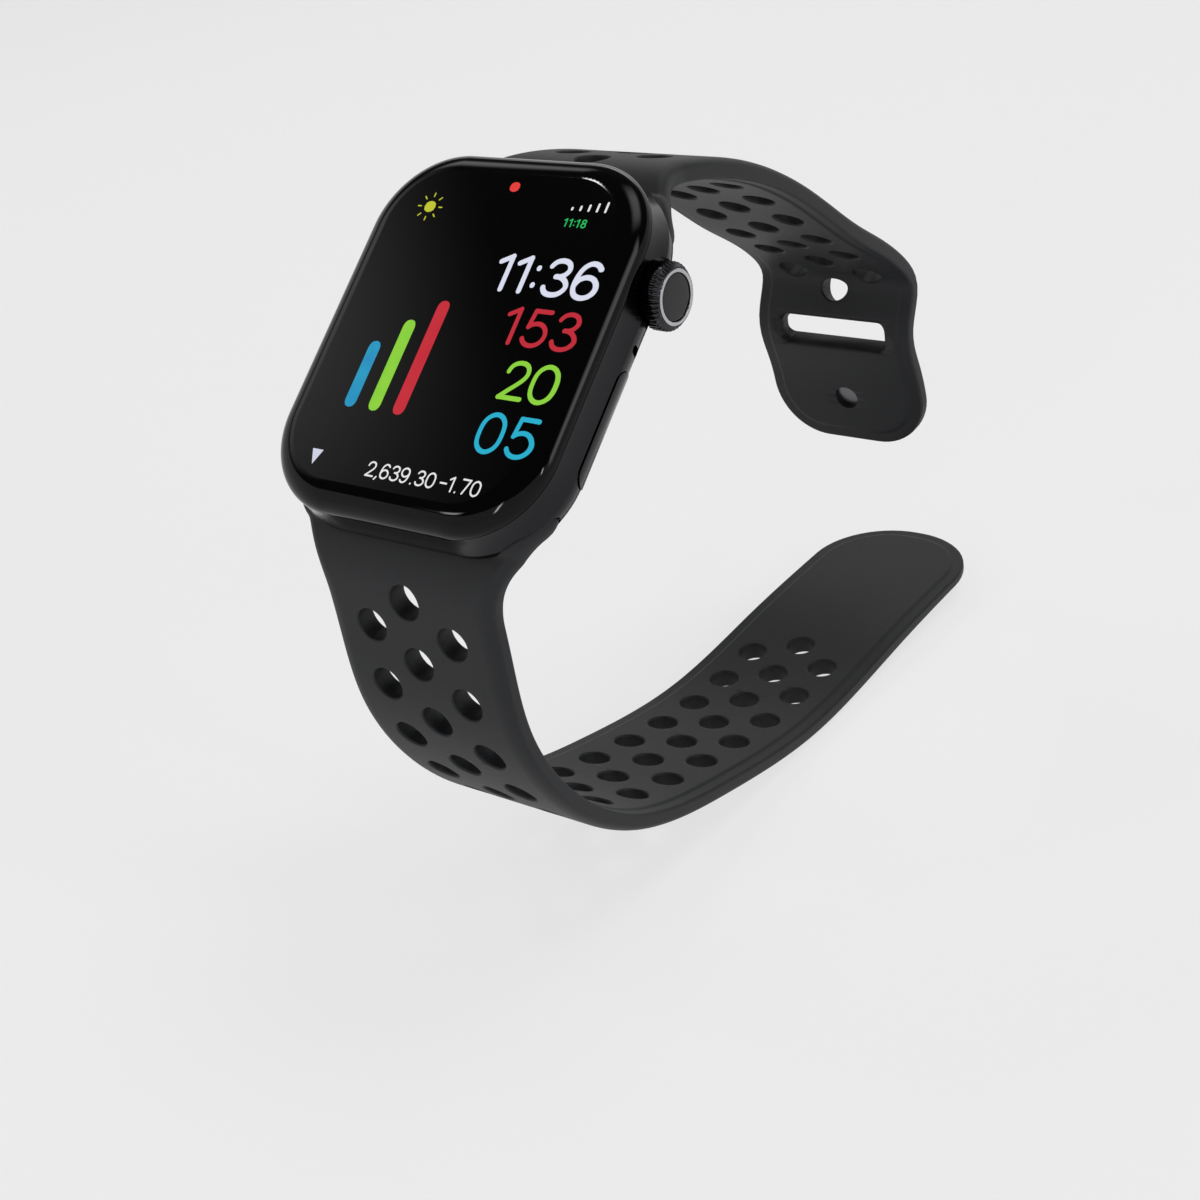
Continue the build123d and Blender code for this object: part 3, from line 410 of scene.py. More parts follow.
def smoothLine(points, closed=False, spacing=0.1):
    # samples a curve of even bending through the points, for the strap halves and the display's figures;
    # gives distances, places and directions. A closed line's last point repeats its first.
    knots = np.array(points, float)
    if closed:
        knots = np.vstack([knots[-3:-1], knots, knots[1:3]])
    span = np.linalg.norm(np.diff(knots, axis=0), axis=1)
    count = len(knots)
    slope = np.zeros_like(knots)
    if count == 2:
        slope[:] = (knots[1] - knots[0]) / span[0]
    else:
        rows, sums = np.zeros((count, count)), np.zeros_like(knots)
        for i in range(1, count - 1):
            rows[i, i - 1], rows[i, i + 1] = 1 / span[i - 1], 1 / span[i]
            rows[i, i] = 2 * (rows[i, i - 1] + rows[i, i + 1])
            sums[i] = 3 * ((knots[i] - knots[i - 1]) / span[i - 1] ** 2
                           + (knots[i + 1] - knots[i]) / span[i] ** 2)
        rows[0, 0] = rows[-1, -1] = 1
        first, last = (knots[1] - knots[0]) / span[0], (knots[-1] - knots[-2]) / span[-1]
        sums[0] = first - ((knots[2] - knots[1]) / span[1] - first) * span[0] / (span[0] + span[1])
        sums[-1] = last + (last - (knots[-2] - knots[-3]) / span[-2]) * span[-1] / (span[-1] + span[-2])
        slope = np.linalg.solve(rows, sums)
    runs = range(2, count - 3) if closed else range(count - 1)
    places = []
    for i in runs:
        pieces = max(2, int(math.ceil(span[i] / spacing)))
        for t in np.linspace(0, 1, pieces, endpoint=False):
            places.append((2 * t**3 - 3 * t**2 + 1) * knots[i] + (t**3 - 2 * t**2 + t) * span[i] * slope[i]
                          + (3 * t**2 - 2 * t**3) * knots[i + 1] + (t**3 - t**2) * span[i] * slope[i + 1])
    places.append(knots[runs[-1] + 1])
    places = np.array(places)
    step = np.linalg.norm(np.diff(places, axis=0), axis=1)
    distance = np.concatenate([[0], np.cumsum(step)])
    direction = np.gradient(places, distance, axis=0)
    direction /= np.linalg.norm(direction, axis=1)[:, None]
    return distance, places, direction


def lineAt(line, where):
    # place and direction at a distance along the line, which runs on straight past its ends
    distance, places, direction = line
    spot = [np.interp(where, distance, places[:, k]) for k in (0, 1)]
    way = Vector([np.interp(where, distance, direction[:, k]) for k in (0, 1)]).normalized()
    past = where - min(max(where, 0), distance[-1])
    return Vector(spot) + way * past, way


def drawOut(bm, points, edges):
    # extrudes a chain of edges once; gives its new points, in the old ones' order, and its new edges
    grown = bmesh.ops.extrude_edge_only(bm, edges=edges)["geom"]
    fresh = {v for v in grown if isinstance(v, bmesh.types.BMVert)}
    points = [next(e.other_vert(v) for e in v.link_edges if e.other_vert(v) in fresh) for v in points]
    edges = [e for e in grown if isinstance(e, bmesh.types.BMEdge)
             and e.verts[0] in fresh and e.verts[1] in fresh]
    return points, edges


def finishPiece(bm, name, material, body):
    mesh = bpy.data.meshes.new(name)
    bm.to_mesh(mesh)
    bm.free()
    mesh.materials.append(material)
    for face in mesh.polygons:
        face.use_smooth = True
    piece = bpy.data.objects.new(name, mesh)
    scene.collection.objects.link(piece)
    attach(piece, body)
    return piece


def keepFlats(piece):
    # broad faces keep their own direction, so the flats stay flat beside the small roundings
    weigh = piece.modifiers.new("flats", "WEIGHTED_NORMAL")
    weigh.mode, weigh.weight = "FACE_AREA", 50


# lengths in mm, counted along each half from where its stem starts
strap = {
    "width": 24.0, "thickness": 2.6, "tailThickness": 1.7,
    # the section: rounding of the outer edge, of the inner edge, and the ledge round the inner face
    "edgeWidth": 2.0, "edgeHeight": 1.05, "innerRound": 0.4, "ledge": 1.5, "ledgeDrop": 0.22,
    # share of the ledge's drop and how far in from the ledge, from its rim to the inner face
    "ledgeSlope": [(1.0, 0.0), (0.82, 0.12), (0.5, 0.3), (0.18, 0.48), (0.0, 0.6)],
    # the stem's section, with this widest rounding, becomes the band's from here on, over this length
    "stemRound": 1.3, "growStart": 0.3, "growLength": 6.0,
    "hole": 4.0, "holeLip": 0.3, "pitch": 7.75, "column": 5.8, "firstHole": 6.9,
    # round an end corner the section is laid this often, and its middle stops this far from the rim
    "cornerSteps": 14, "rimInset": 2.6,
    # the flat half is sliced across before it is bent, and ends this much short of its line
    "firstSlice": 9, "slice": 1.2, "short": 0.06,
    # u and w of the stem in the lug, at its start and past the case's edge
    "stemInside": (18.75, 3.6), "stemStart": (21.0, 3.15), "stemEnd": (23.0, 2.65),
    # distance from the stem's start, half width, top and bottom of the section
    "lug": [(-4.99, 17.5, -0.05, -0.45), (-4.93, 17.62, 0.25, -0.75), (-4.75, 17.66, 0.58, -1.06),
            (-4.45, 17.6, 0.90, -1.37), (-4.05, 17.45, 1.15, -1.60), (-3.5, 17.22, 1.37, -1.70),
            (-2.9, 16.92, 1.63, -1.58), (-2.3, 16.56, 1.88, -1.36), (-1.75, 16.22, 2.10, -1.30),
            (-1.2, 15.88, 2.19, -1.29), (-0.8, 15.63, 2.12, -1.29), (-0.45, 15.4, 1.98, -1.29),
            (-0.15, 15.2, 1.79, -1.29), (0.1, 15.03, 1.54, -1.29), (0.3, 14.89, 1.37, -1.29)],
    # distance and half width from the stem to the plain band
    "flare": [(0.3, 14.89), (1.5, 14.1), (3.0, 13.3), (4.6, 12.65), (6.4, 12.18), (8.6, 12.0)],
    # each half: side of the case, length without holes at its end, radius of its end corners, length that
    # thins towards the end, body, whether it has the closure, Y and Z of the places that it bends through
    "halves": {
        "strap_lower": {
            "side": -1, "plain": 36.0, "corner": 11.5, "taper": 32.0, "body": "lower_strap",
            "closure": False,
            "bends": [(-20.03, -20.32), (-19.0, -32.35), (-13.19, -44.51), (-2.04, -54.59),
                      (16.75, -60.94), (37.87, -64.29), (60.38, -63.21), (90.03, -62.05)]},
        "strap_upper": {
            "side": 1, "plain": 24.0, "corner": 8.0, "taper": 0, "body": "upper_strap",
            "closure": True,
            "bends": [(23.58, 16.68), (36.15, 12.73), (47.22, 6.45), (58.57, -1.91), (68.65, -8.97),
                      (71.76, -13.54), (69.89, -19.1), (71.38, -25.76), (73.6, -37.88)]},
    },
    # the closure: slot that the tail tucks into, the stud's hole and its counterbore
    "slotWidth": 17.0, "slotHeight": 3.6, "slotSetback": 18.0, "slotCorner": 1.2,
    "studSetback": 7.0, "studHole": 3.5, "studLip": 0.05, "studSeat": 7.3, "studSeatDepth": 0.65,
    # pocket under the lug for the release latch: half width, u from and to, w from and to
    "latchPocket": (3.3, (16.8, 19.2), (1.2, 4.25)),
}


def sideView(u, w):
    # Y and Z in mm of a place given as u and w
    p = inWatch(0, u, w) / mm
    return (p.y, p.z)


def strapLine(side, bends):
    return smoothLine([sideView(side * u, w) for u, w in (strap["stemStart"], strap["stemEnd"])] + bends)


def makeSpool(bm, spot, radius, lip):
    # cutter for one perforation, flared where it meets each face so the rim comes out rounded
    x, y = spot
    half = strap["thickness"] / 2
    past, skin = half + 0.8, half + 0.02
    profile = [(0, past), (radius + lip, past), (radius + lip, skin)]
    for step in range(1, 4):
        turn = math.radians(90 * step / 3)
        profile.append((radius + lip * (1 - math.sin(turn)), half - lip * (1 - math.cos(turn))))
    profile += [(r, -z) for r, z in reversed(profile)]
    verts = [bm.verts.new((x + r, y, z)) for r, z in profile]
    edges = [bm.edges.new(pair) for pair in zip(verts, verts[1:])]
    bmesh.ops.spin(bm, geom=verts + edges, cent=(x, y, 0), axis=(0, 0, 1), angle=math.tau,
                   steps=32, use_merge=True)


def sectionAt(y, half, top, bottom):
    # half section from the middle of the outer face round the edge to the middle of the inner face,
    # as pairs of inset from the edge and height
    grown = min(1.0, max(0.0, (y - strap["growStart"]) / strap["growLength"]))
    deep = (top - bottom) / 2 - 0.01
    stemWide = min(deep, strap["stemRound"])
    wide = stemWide + (strap["edgeWidth"] - stemWide) * grown
    high = deep + (strap["edgeHeight"] - deep) * grown
    under = deep + (strap["innerRound"] - deep) * grown
    rise = strap["ledgeDrop"] * grown
    pairs = [(half, top)]
    for step in range(8):
        turn = math.radians(90 * step / 7)
        pairs.append((wide * (1 - math.sin(turn)), top - high * (1 - math.cos(turn))))
    for step in range(5):
        turn = math.radians(90 * step / 4)
        pairs.append((under * (1 - math.cos(turn)), bottom + rise + under * (1 - math.sin(turn))))
    for share, reach in strap["ledgeSlope"]:
        pairs.append((strap["ledge"] + reach, bottom + rise * share))
    return pairs + [(half, bottom)]


def makeStrapBlank(length, corner):
    # flat half: x across, y along, z out of the outer face; the right side is drawn out, then mirrored
    half, thick, inset = strap["width"] / 2, strap["thickness"] / 2, strap["rimInset"]
    stations = [((0, y), (w, y), (-1, 0), sectionAt(y, w, top, bottom))
                for y, w, top, bottom in strap["lug"]]
    for y, w in smoothLine(strap["flare"], spacing=0.4)[1][1:]:
        stations.append(((0, y), (w, y), (-1, 0), sectionAt(y, w, thick, -thick)))
    plain = sectionAt(length, half, thick, -thick)
    for step in range(strap["cornerSteps"] + 1):
        # round the corner the section swings about the corner's centre
        turn = math.radians(90 * step / strap["cornerSteps"])
        rim = (half - corner + corner * math.cos(turn), length - corner + corner * math.sin(turn))
        spine = (0, length - corner + (corner - inset) * math.sin(turn))
        stations.append((spine, rim, (-math.cos(turn), -math.sin(turn)), plain))
    stations.append(((0, length - inset), (0, length), (0, -1), plain))
    bm = bmesh.new()
    chain = [bm.verts.new((0, 0, 0)) for _ in plain]
    edges = [bm.edges.new(pair) for pair in zip(chain, chain[1:])]
    for count, (spine, rim, inwards, pairs) in enumerate(stations):
        if count:
            chain, edges = drawOut(bm, chain, edges)
        for number, (v, (inwardBy, z)) in enumerate(zip(chain, pairs)):
            middle = number in (0, len(pairs) - 1)
            spot = Vector(spine) if middle else Vector(rim) + Vector(inwards) * inwardBy
            v.co = (spot.x, spot.y, z)
    bmesh.ops.mirror(bm, geom=bm.verts[:] + bm.edges[:] + bm.faces[:], axis="X", merge_dist=1e-4)
    bmesh.ops.remove_doubles(bm, verts=bm.verts, dist=1e-4)
    bmesh.ops.holes_fill(bm, edges=[e for e in bm.edges if e.is_boundary], sides=0)
    bmesh.ops.dissolve_degenerate(bm, edges=bm.edges, dist=1e-4)
    bmesh.ops.recalc_face_normals(bm, faces=bm.faces)
    return bm


def cutWith(bm, cutters, name):
    # subtracts the closed cutters from the blank
    blankMesh, cutMesh = bpy.data.meshes.new(name), bpy.data.meshes.new(name + "_cut")
    bmesh.ops.recalc_face_normals(cutters, faces=cutters.faces)
    bm.to_mesh(blankMesh)
    cutters.to_mesh(cutMesh)
    bm.free()
    cutters.free()
    blank, cut = bpy.data.objects.new(name, blankMesh), bpy.data.objects.new(name + "_cut", cutMesh)
    scene.collection.objects.link(blank)
    scene.collection.objects.link(cut)
    carve = blank.modifiers.new("carve", "BOOLEAN")
    carve.operation, carve.solver, carve.object = "DIFFERENCE", "EXACT", cut
    graph = bpy.context.evaluated_depsgraph_get()
    out = bmesh.new()
    out.from_mesh(bpy.data.meshes.new_from_object(blank.evaluated_get(graph)))
    bpy.data.objects.remove(blank)
    bpy.data.objects.remove(cut)
    return out


def bendOnto(bm, line, side, length, taper):
    # carries the flat half onto its line; the tail thins over its last part
    thin = strap["tailThickness"] / strap["thickness"]
    inside, start = (Vector(sideView(side * u, w)) for u, w in (strap["stemInside"], strap["stemStart"]))
    stem = (start - inside).normalized()
    for v in bm.verts:
        x, y, z = v.co
        if taper:
            z *= 1 + (thin - 1) * max(0.0, (y - length + taper) / taper)
        if y >= 0:
            spot, way = lineAt(line, y)
            way = way.lerp(stem, max(0.0, 1 - y)).normalized()  # eases out of the stem over 1 mm
        else:
            spot, way = start + stem * y, stem
        out = Vector((-way.y, way.x)) * side
        v.co = Vector((x, spot.x + out.x * z, spot.y + out.y * z)) * mm


def addPerforations(cutters, stop):
    # single holes on the middle line with a pair between each two, as far as stop
    spot, half, holes = strap["firstHole"], strap["pitch"] / 2, 0
    while spot < stop:
        row = [(0, spot)]
        if spot + half < stop:
            row += [(hand * strap["column"], spot + half) for hand in (1, -1)]
        for place in row:
            makeSpool(cutters, place, strap["hole"] / 2, strap["holeLip"])
            holes += 1
        spot += strap["pitch"]
    return holes


def addLatchPocket(cutters):
    # a box that lies square to the case under a lug that leaves it at a slant
    half, (lowU, highU), (lowW, highW) = strap["latchPocket"]
    start = Vector(strap["stemStart"])
    way = (start - Vector(strap["stemInside"])).normalized()
    middle = Vector(((lowU + highU) / 2, (lowW + highW) / 2)) - start
    slant = Matrix.Rotation(-math.atan2(way.y, way.x), 3, "X")
    pocket = bmesh.ops.create_cube(cutters, size=1)["verts"]
    bmesh.ops.scale(cutters, verts=pocket, vec=(2 * half, highU - lowU, highW - lowW))
    bmesh.ops.rotate(cutters, verts=pocket, cent=(0, 0, 0), matrix=slant)
    bmesh.ops.translate(cutters, verts=pocket,
                        vec=(0, middle.dot(way), middle.dot(Vector((-way.y, way.x)))))


def addClosure(cutters, length):
    # the slot that the tail tucks into, and the stud's hole with its counterbore in the inner face
    tuck = bmesh.ops.create_cube(cutters, size=1)["verts"]
    bmesh.ops.scale(cutters, verts=tuck, vec=(strap["slotWidth"], strap["slotHeight"], 8))  # right through
    bmesh.ops.translate(cutters, verts=tuck, vec=(0, length - strap["slotSetback"], 0))
    uprights = [e for v in tuck for e in v.link_edges if abs(e.verts[0].co.z - e.verts[1].co.z) > 1]
    bmesh.ops.bevel(cutters, geom=list(set(uprights)), offset=strap["slotCorner"], offset_type="OFFSET",
                    affect="EDGES", segments=6, profile=0.5, material=-1)
    stud = length - strap["studSetback"]
    makeSpool(cutters, (0, stud), strap["studHole"] / 2, strap["studLip"])
    deep = 2.0  # the counterbore's cutter stands out of the inner face
    seat = bmesh.ops.create_cone(cutters, cap_ends=True, segments=48, radius1=strap["studSeat"] / 2,
                                 radius2=strap["studSeat"] / 2, depth=deep)["verts"]
    level = -strap["thickness"] / 2 + strap["studSeatDepth"] - deep / 2
    bmesh.ops.translate(cutters, verts=seat, vec=(0, stud, level))


def makeStrap(cadNode):
    half = strap["halves"][cadNode]
    name = cadNode + "_moulding"
    line = strapLine(half["side"], half["bends"])
    length = line[0][-1] - strap["short"]
    blank = makeStrapBlank(length, half["corner"])
    cutters = bmesh.new()
    holes = addPerforations(cutters, length - half["plain"])
    addLatchPocket(cutters)
    if half["closure"]:
        addClosure(cutters, length)
    bm = cutWith(blank, cutters, name)
    for step in range(int((length - strap["firstSlice"]) / strap["slice"])):
        bmesh.ops.bisect_plane(bm, geom=bm.verts[:] + bm.edges[:] + bm.faces[:], dist=1e-4,
                               plane_co=(0, strap["firstSlice"] + step * strap["slice"], 0),
                               plane_no=(0, 1, 0))
    bendOnto(bm, line, half["side"], length, half["taper"])
    bmesh.ops.recalc_face_normals(bm, faces=bm.faces)
    piece = finishPiece(bm, name, made["strap_rubber"], half["body"])
    keepFlats(piece)
    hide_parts(cadNode)
    print(name, "length", round(length, 1), "mm, holes", holes, "faces", len(piece.data.polygons))


for cadNode in strap["halves"]:
    makeStrap(cadNode)

knob = {
    # the crown's middle, its ribs, the points on each, and the power that narrows the grooves
    "u": 10.0, "w": 3.9, "ribs": 40, "pointsPerRib": 10, "grooveShape": 1.6,
    # along the crown's axis: x, radius, depth of the grooves in mm
    "stations": [(20.62, 1.12, 0.0), (18.66, 1.12, 0.0), (18.66, 3.28, 0.03), (18.80, 3.56, 0.16),
                 (18.92, 3.62, 0.23), (20.26, 3.64, 0.24), (20.40, 3.62, 0.24), (20.50, 3.56, 0.23),
                 (20.80, 3.26, 0.17), (20.88, 3.18, 0.12), (20.96, 3.10, 0.03), (20.985, 3.05, 0.0),
                 (20.98, 3.01, 0.0), (20.62, 3.01, 0.0)],
}


def makeKnob():
    # one ring of points is drawn out from station to station and closed on itself
    bm = bmesh.new()
    ring = bmesh.ops.create_circle(bm, segments=knob["ribs"] * knob["pointsPerRib"], radius=1)["verts"]
    spots = [(v.co.x, v.co.y) for v in ring]
    edges = bm.edges[:]
    for count, (x, radius, depth) in enumerate(knob["stations"] + knob["stations"][:1]):
        if count:
            ring, edges = drawOut(bm, ring, edges)
        for number, (v, (across, along)) in enumerate(zip(ring, spots)):
            wave = 0.5 - 0.5 * math.cos(math.tau * number / knob["pointsPerRib"])
            reach = radius - depth * wave ** knob["grooveShape"]
            v.co = inWatch(x, knob["u"] + reach * across, knob["w"] + reach * along)
    bmesh.ops.remove_doubles(bm, verts=bm.verts, dist=2e-7)
    bmesh.ops.recalc_face_normals(bm, faces=bm.faces)
    piece = finishPiece(bm, "crown_ribbed_knob", made["crown_metal"], "crown")
    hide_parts("crown_knob")
    print("crown knob faces", len(piece.data.polygons))


disc = {
    "steps": 96,
    # radius and x in mm, from the middle of its face over the rim to its back
    "profile": [(0.0, 20.948), (0.6, 20.946), (1.2, 20.940), (1.8, 20.930), (2.2, 20.920), (2.4, 20.905),
                (2.48, 20.88), (2.515, 20.84), (2.515, 20.62), (0.0, 20.62)],
}


def makeDisc():
    # sapphire disc in the crown's ring, lapped to a very flat dome
    bm = bmesh.new()
    verts = [bm.verts.new(inWatch(x, knob["u"] + r, knob["w"])) for r, x in disc["profile"]]
    edges = [bm.edges.new(pair) for pair in zip(verts, verts[1:])]
    bmesh.ops.spin(bm, geom=verts + edges, cent=inWatch(0, knob["u"], knob["w"]), axis=(1, 0, 0),
                   angle=math.tau, steps=disc["steps"], use_merge=True)
    bmesh.ops.remove_doubles(bm, verts=bm.verts, dist=2e-7)
    bmesh.ops.recalc_face_normals(bm, faces=bm.faces)
    piece = finishPiece(bm, "crown_domed_disc", made["crown_face"], "crown")
    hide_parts("crown_disc")
    print("crown disc faces", len(piece.data.polygons))


# rounding of the cap's rim and the x past which an edge belongs to it, in mm; its least angle in radians
buttonCap = {"bevel": 0.32, "segments": 5, "rimFrom": 17.0, "sharp": 0.5}


def makeButtonCap():
    # the side button with its rim eased, so that it catches one long light
    node = nodes["side_button"]
    bm = bmesh.new()
    bm.from_mesh(node.data)
    bm.transform(node.matrix_world)
    bmesh.ops.remove_doubles(bm, verts=bm.verts, dist=2e-6)
    rim = [e for e in bm.edges if len(e.link_faces) == 2 and e.calc_face_angle() > buttonCap["sharp"]
           and min(v.co.x for v in e.verts) > buttonCap["rimFrom"] * mm]
    bmesh.ops.bevel(bm, geom=rim, offset=buttonCap["bevel"] * mm, offset_type="OFFSET", affect="EDGES",
                    segments=buttonCap["segments"], profile=0.5, material=-1, clamp_overlap=True)
    bmesh.ops.recalc_face_normals(bm, faces=bm.faces)
    slot = slotOf["side_button"]
    piece = finishPiece(bm, "side_button_cap", made[slot], "side_button")
    keepFlats(piece)
    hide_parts("side_button")
    print("side button rim edges", len(rim))


makeKnob()
makeDisc()
makeButtonCap()

# plain figures and marks on the glass; lengths in mm, u and x from the glass's middle
display = {
    # the glass's level, how deep a stroke's middle lies in it and how far a stroke rises from its middle
    "level": 10.7, "sink": 0.02, "rise": 0.045,
    # the glass's half width and height, corner radius, and the width and fall of its rolled edge
    "glassHalf": (18.6, 22.1), "glassCorner": 10.2, "roll": 3.0, "rollFall": 2.3,
    # strokes of the figures in a box 0.6 wide and 1 high; True closes the stroke
    "figures": {
        "0": [(True, [(0.30, 0.96), (0.49, 0.83), (0.55, 0.50), (0.49, 0.17), (0.30, 0.04), (0.11, 0.17),
                      (0.05, 0.50), (0.11, 0.83), (0.30, 0.96)])],
        "1": [(False, [(0.12, 0.79), (0.34, 0.95)]), (False, [(0.34, 0.95), (0.34, 0.05)])],
        "2": [(False, [(0.07, 0.72), (0.12, 0.87), (0.29, 0.96), (0.47, 0.87), (0.51, 0.70), (0.42, 0.49),
                       (0.24, 0.27), (0.06, 0.05)]), (False, [(0.06, 0.05), (0.54, 0.05)])],
        "3": [(False, [(0.08, 0.80), (0.16, 0.92), (0.30, 0.96), (0.45, 0.88), (0.49, 0.73), (0.42, 0.59),
                       (0.25, 0.53)]),
              (False, [(0.25, 0.53), (0.44, 0.47), (0.54, 0.29), (0.46, 0.11), (0.29, 0.04), (0.13, 0.09),
                       (0.06, 0.21)])],
        "5": [(False, [(0.50, 0.95), (0.14, 0.95)]), (False, [(0.14, 0.95), (0.10, 0.52)]),
              (False, [(0.10, 0.52), (0.20, 0.60), (0.33, 0.62), (0.48, 0.52), (0.54, 0.33), (0.47, 0.13),
                       (0.30, 0.04), (0.14, 0.09), (0.06, 0.20)])],
        "6": [(False, [(0.50, 0.84), (0.42, 0.93), (0.31, 0.96), (0.15, 0.84), (0.07, 0.58), (0.06, 0.33),
                       (0.13, 0.12), (0.30, 0.04), (0.47, 0.12), (0.54, 0.31), (0.47, 0.51), (0.31, 0.59),
                       (0.15, 0.52), (0.07, 0.36)])],
        "7": [(False, [(0.06, 0.95), (0.53, 0.95)]), (False, [(0.53, 0.95), (0.24, 0.05)])],
        "8": [(True, [(0.30, 0.96), (0.46, 0.88), (0.50, 0.75), (0.44, 0.60), (0.30, 0.53), (0.16, 0.60),
                      (0.10, 0.75), (0.14, 0.88), (0.30, 0.96)]),
              (True, [(0.30, 0.53), (0.47, 0.44), (0.54, 0.28), (0.46, 0.11), (0.30, 0.04), (0.14, 0.11),
                      (0.06, 0.28), (0.13, 0.44), (0.30, 0.53)])],
        "9": [(False, [(0.10, 0.16), (0.18, 0.07), (0.29, 0.04), (0.45, 0.16), (0.53, 0.42), (0.54, 0.67),
                       (0.47, 0.88), (0.30, 0.96), (0.13, 0.88), (0.06, 0.69), (0.13, 0.49), (0.29, 0.41),
                       (0.45, 0.48), (0.53, 0.64)])],
        ":": [(False, [(0.14, 0.24), (0.14, 0.245)]), (False, [(0.14, 0.70), (0.14, 0.705)])],
        ".": [(False, [(0.14, 0.05), (0.14, 0.055)])],
        ",": [(False, [(0.16, 0.06), (0.08, -0.10)])],
        "-": [(False, [(0.10, 0.48), (0.46, 0.48)])],
    },
    # figures, each one's start in x, foot u, height, width of a box 1 wide, stroke radius, colour
    "lines": {
        "hours": ("11:36", (2.22, 4.72, 7.33, 9.25, 13.0), 5.07, 4.37, 5.83, 0.38, "#E4E8FA"),
        "paceRed": ("153", (6.25, 9.36, 13.2), -0.9, 4.37, 5.6, 0.33, "#C8323F"),
        "countGreen": ("20", (9.46, 13.12), -6.98, 4.4, 5.75, 0.33, "#93DB45"),
        "countBlue": ("05", (9.1, 13.2), -13.13, 4.57, 5.85, 0.33, "#2FB6D6"),
        "smallGreen": ("11:18", (8.69, 9.36, 9.99, 10.31, 11.04), 13.26, 0.96, 1.14, 0.10, "#2FC365"),
        "footLine": ("2,639.30-1.70",
                     (-2.97, -1.65, -1.03, 0.4, 1.74, 3.16, 3.9, 5.28, 7.06, 8.15, 9.19, 9.9, 11.28),
                     -17.85, 1.72, 2.1, 0.125, "#F2F2F4"),
    },
    # a disc with rays between two distances from its middle
    "sun": {"middle": (-10.2, 14.3), "radius": 0.86, "rays": 8, "ray": (1.3, 1.7), "rayRadius": 0.1,
            "colour": "#C9CE3A"},
    "alert": {"middle": (0.35, 17.5), "radius": 0.75, "colour": "#EE4640"},
    # three plain upright gauges: x, top u, colour, colour it drifts to
    "gauges": {
        "gaugeRed": (-2.2, 2.3, "#C92F3C", "#D23A46"),
        "gaugeGreen": (-5.7, -0.4, "#6FD23C", "#A6E04A"),
        "gaugeBlue": (-9.2, -3.4, "#2E86C4", "#36B0CE"),
    },
    "gaugeFoot": -9.7, "gaugeRadius": 1.0,
    # five short bars, growing to the right: first x, pitch, foot u, first top u and its growth
    "levelBars": {"count": 5, "x": 9.1, "pitch": 1.08, "foot": 15.35, "top": 15.5, "growth": 0.22,
                  "radius": 0.17, "colour": "#F0F0F2"},
    # small filled wedge, point down, at the left of the foot line
    "wedge": {"middle": (-10.64, -16.5), "radius": 0.9, "stretch": 1.31, "colour": "#D8DCEE"},
}


def makeGlow(name, colour, second=None):
    # organic LED film, printed, lit under the glass: even colour and no shine of its own
    material, tree = startMaterial("ledFilmPrinted_" + name)
    place = addNode(tree, "ShaderNodeTexCoord")
    drift = addNode(tree, "ShaderNodeTexNoise", {"Scale": 1 / (2.5 * mm), "Detail": 1.0},
                    {"Vector": place.outputs["Object"]})
    mix = addNode(tree, "ShaderNodeMix",
                  {"data_type": "RGBA", 6: fromHex(colour), 7: fromHex(second or colour)},
                  {0: drift.outputs["Fac"]})
    shader = addNode(tree, "ShaderNodeBsdfPrincipled",
                     {"Base Color": fromHex("#050505"), "Roughness": 0.6, "Specular IOR Level": 0.0,
                      "Emission Strength": 0.9},
                     {"Emission Color": mix.outputs[2]})
    endMaterial(tree, shader)
    return material


def addStroke(bm, points, radius, closed=False):
    # a flat bead along the stroke in the plane of the display, round at both ends
    _, places, direction = smoothLine(points, closed, max(radius * 0.45, 0.03))
    stations = [(Vector(p), Vector(d), 1.0) for p, d in zip(places, direction)]
    if closed:
        stations = stations[:-1]
    else:
        (first, _, _), (last, _, _) = stations[0], stations[-1]
        back, onward = Vector(direction[0]), Vector(direction[-1])
        for step in range(1, 5):
            turn = math.radians(90 * step / 4)
            reach, shrink = radius * math.sin(turn), max(0.02, math.cos(turn))
            stations.insert(0, (first - back * reach, back, shrink))
            stations.append((last + onward * reach, onward, shrink))
    rings = []
    for spot, way, size in stations:
        sideways = Vector((-way.y, way.x))
        ring = bmesh.ops.create_circle(bm, segments=8, radius=1)["verts"]
        for v in ring:
            flat = sideways * (v.co.x * radius * size)
            v.co = Vector((spot.x + flat.x, spot.y + flat.y, v.co.y * display["rise"] * size))
        rings.append(ring)
    pairs = list(zip(rings, rings[1:])) + ([(rings[-1], rings[0])] if closed else [])
    for low, high in pairs:
        between = [e for ring in (low, high) for v in ring for e in v.link_edges
                   if e.verts[0] in ring and e.verts[1] in ring]
        bmesh.ops.bridge_loops(bm, edges=list(set(between)))
    if not closed:
        for ring in (rings[0], rings[-1]):
            bm.faces.new(ring)


def glassFall(x, u):
    # how far the rolled edge lies below the flat of the glass
    halfX, halfU = display["glassHalf"]
    corner, roll = display["glassCorner"], display["roll"]
    overX, overU = abs(x) - halfX + corner, abs(u) - halfU + corner
    inset = corner - math.hypot(max(overX, 0), max(overU, 0)) - min(max(overX, overU), 0)
    out = min(1.0, max(0.0, 1 - inset / roll))
    return display["rollFall"] * (1 - math.sqrt(1 - out * out))


def addDot(bm, x, u, radius):
    # a stroke so short that its two round ends make a disc
    addStroke(bm, [(x - 0.01, u), (x + 0.01, u)], radius)


def layOnGlass(bm, name, material):
    # lowers a flat piece onto the glass and turns it with the watch
    bmesh.ops.recalc_face_normals(bm, faces=bm.faces)
    for v in bm.verts:
        v.co.z += display["level"] - display["sink"] - glassFall(v.co.x, v.co.y)
    bmesh.ops.scale(bm, verts=bm.verts, vec=(mm, mm, mm))
    bmesh.ops.transform(bm, verts=bm.verts, matrix=watchTurn())
    finishPiece(bm, name, material, "case")


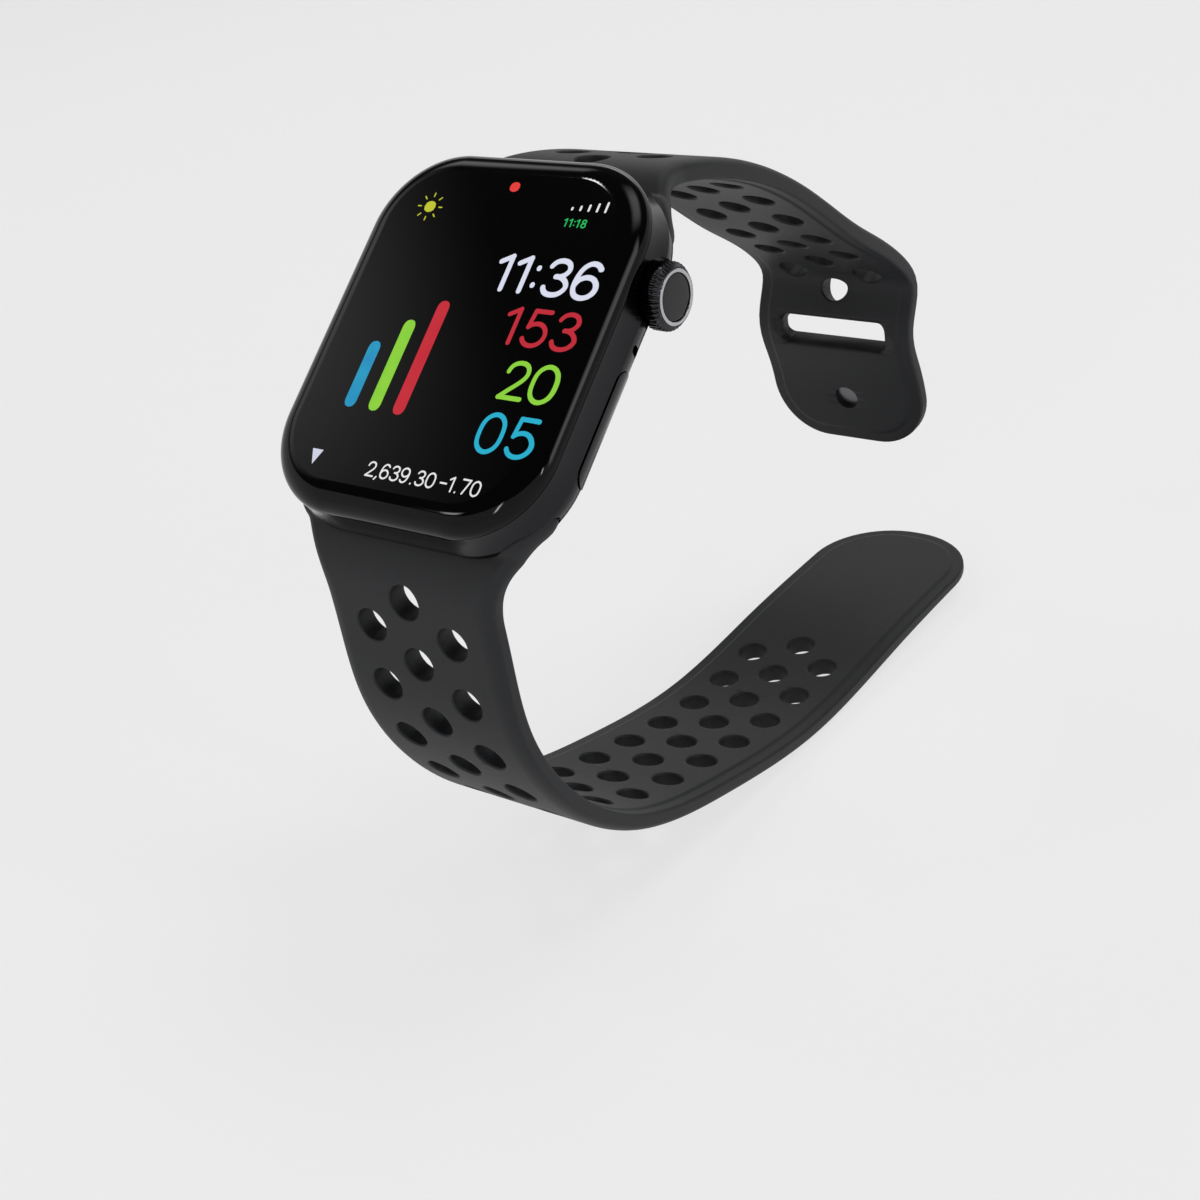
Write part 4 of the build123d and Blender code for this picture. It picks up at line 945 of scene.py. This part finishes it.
def makeFigures():
    for name, (marks, starts, foot, height, width, radius, colour) in display["lines"].items():
        bm = bmesh.new()
        for mark, start in zip(marks, starts):
            for closed, points in display["figures"][mark]:
                places = [(start + across * width, foot + up * height) for across, up in points]
                addStroke(bm, places, radius, closed)
        layOnGlass(bm, name, makeGlow(name, colour))


def makeSun():
    sun = display["sun"]
    bm = bmesh.new()
    addDot(bm, *sun["middle"], sun["radius"])
    for k in range(sun["rays"]):
        turn = math.tau * k / sun["rays"]
        way = Vector((math.cos(turn), math.sin(turn)))
        addStroke(bm, [Vector(sun["middle"]) + way * reach for reach in sun["ray"]], sun["rayRadius"])
    layOnGlass(bm, "sunMark", makeGlow("sun", sun["colour"]))


def makeAlert():
    alert = display["alert"]
    bm = bmesh.new()
    addDot(bm, *alert["middle"], alert["radius"])
    layOnGlass(bm, "alertDot", makeGlow("alert", alert["colour"]))


def makeGauges():
    low = display["gaugeFoot"]
    for name, (x, high, colour, second) in display["gauges"].items():
        bm = bmesh.new()
        addStroke(bm, [(x, low), (x, (low + high) / 2), (x, high)], display["gaugeRadius"])
        layOnGlass(bm, name, makeGlow(name, colour, second))


def makeLevelBars():
    bars = display["levelBars"]
    bm = bmesh.new()
    for k in range(bars["count"]):
        x = bars["x"] + k * bars["pitch"]
        addStroke(bm, [(x, bars["foot"]), (x, bars["top"] + bars["growth"] * k)], bars["radius"])
    layOnGlass(bm, "levelMark", makeGlow("level", bars["colour"]))


def makeWedge():
    wedge = display["wedge"]
    bm = bmesh.new()
    verts = bmesh.ops.create_cone(bm, cap_ends=True, segments=3, radius1=wedge["radius"],
                                  radius2=wedge["radius"], depth=2 * display["rise"])["verts"]
    bmesh.ops.scale(bm, verts=verts, vec=(1, -wedge["stretch"], 1))
    bmesh.ops.translate(bm, verts=verts, vec=(*wedge["middle"], 0))
    layOnGlass(bm, "footMark", makeGlow("foot", wedge["colour"]))


makeFigures()
makeSun()
makeAlert()
makeGauges()
makeLevelBars()
makeWedge()
print("display laid")
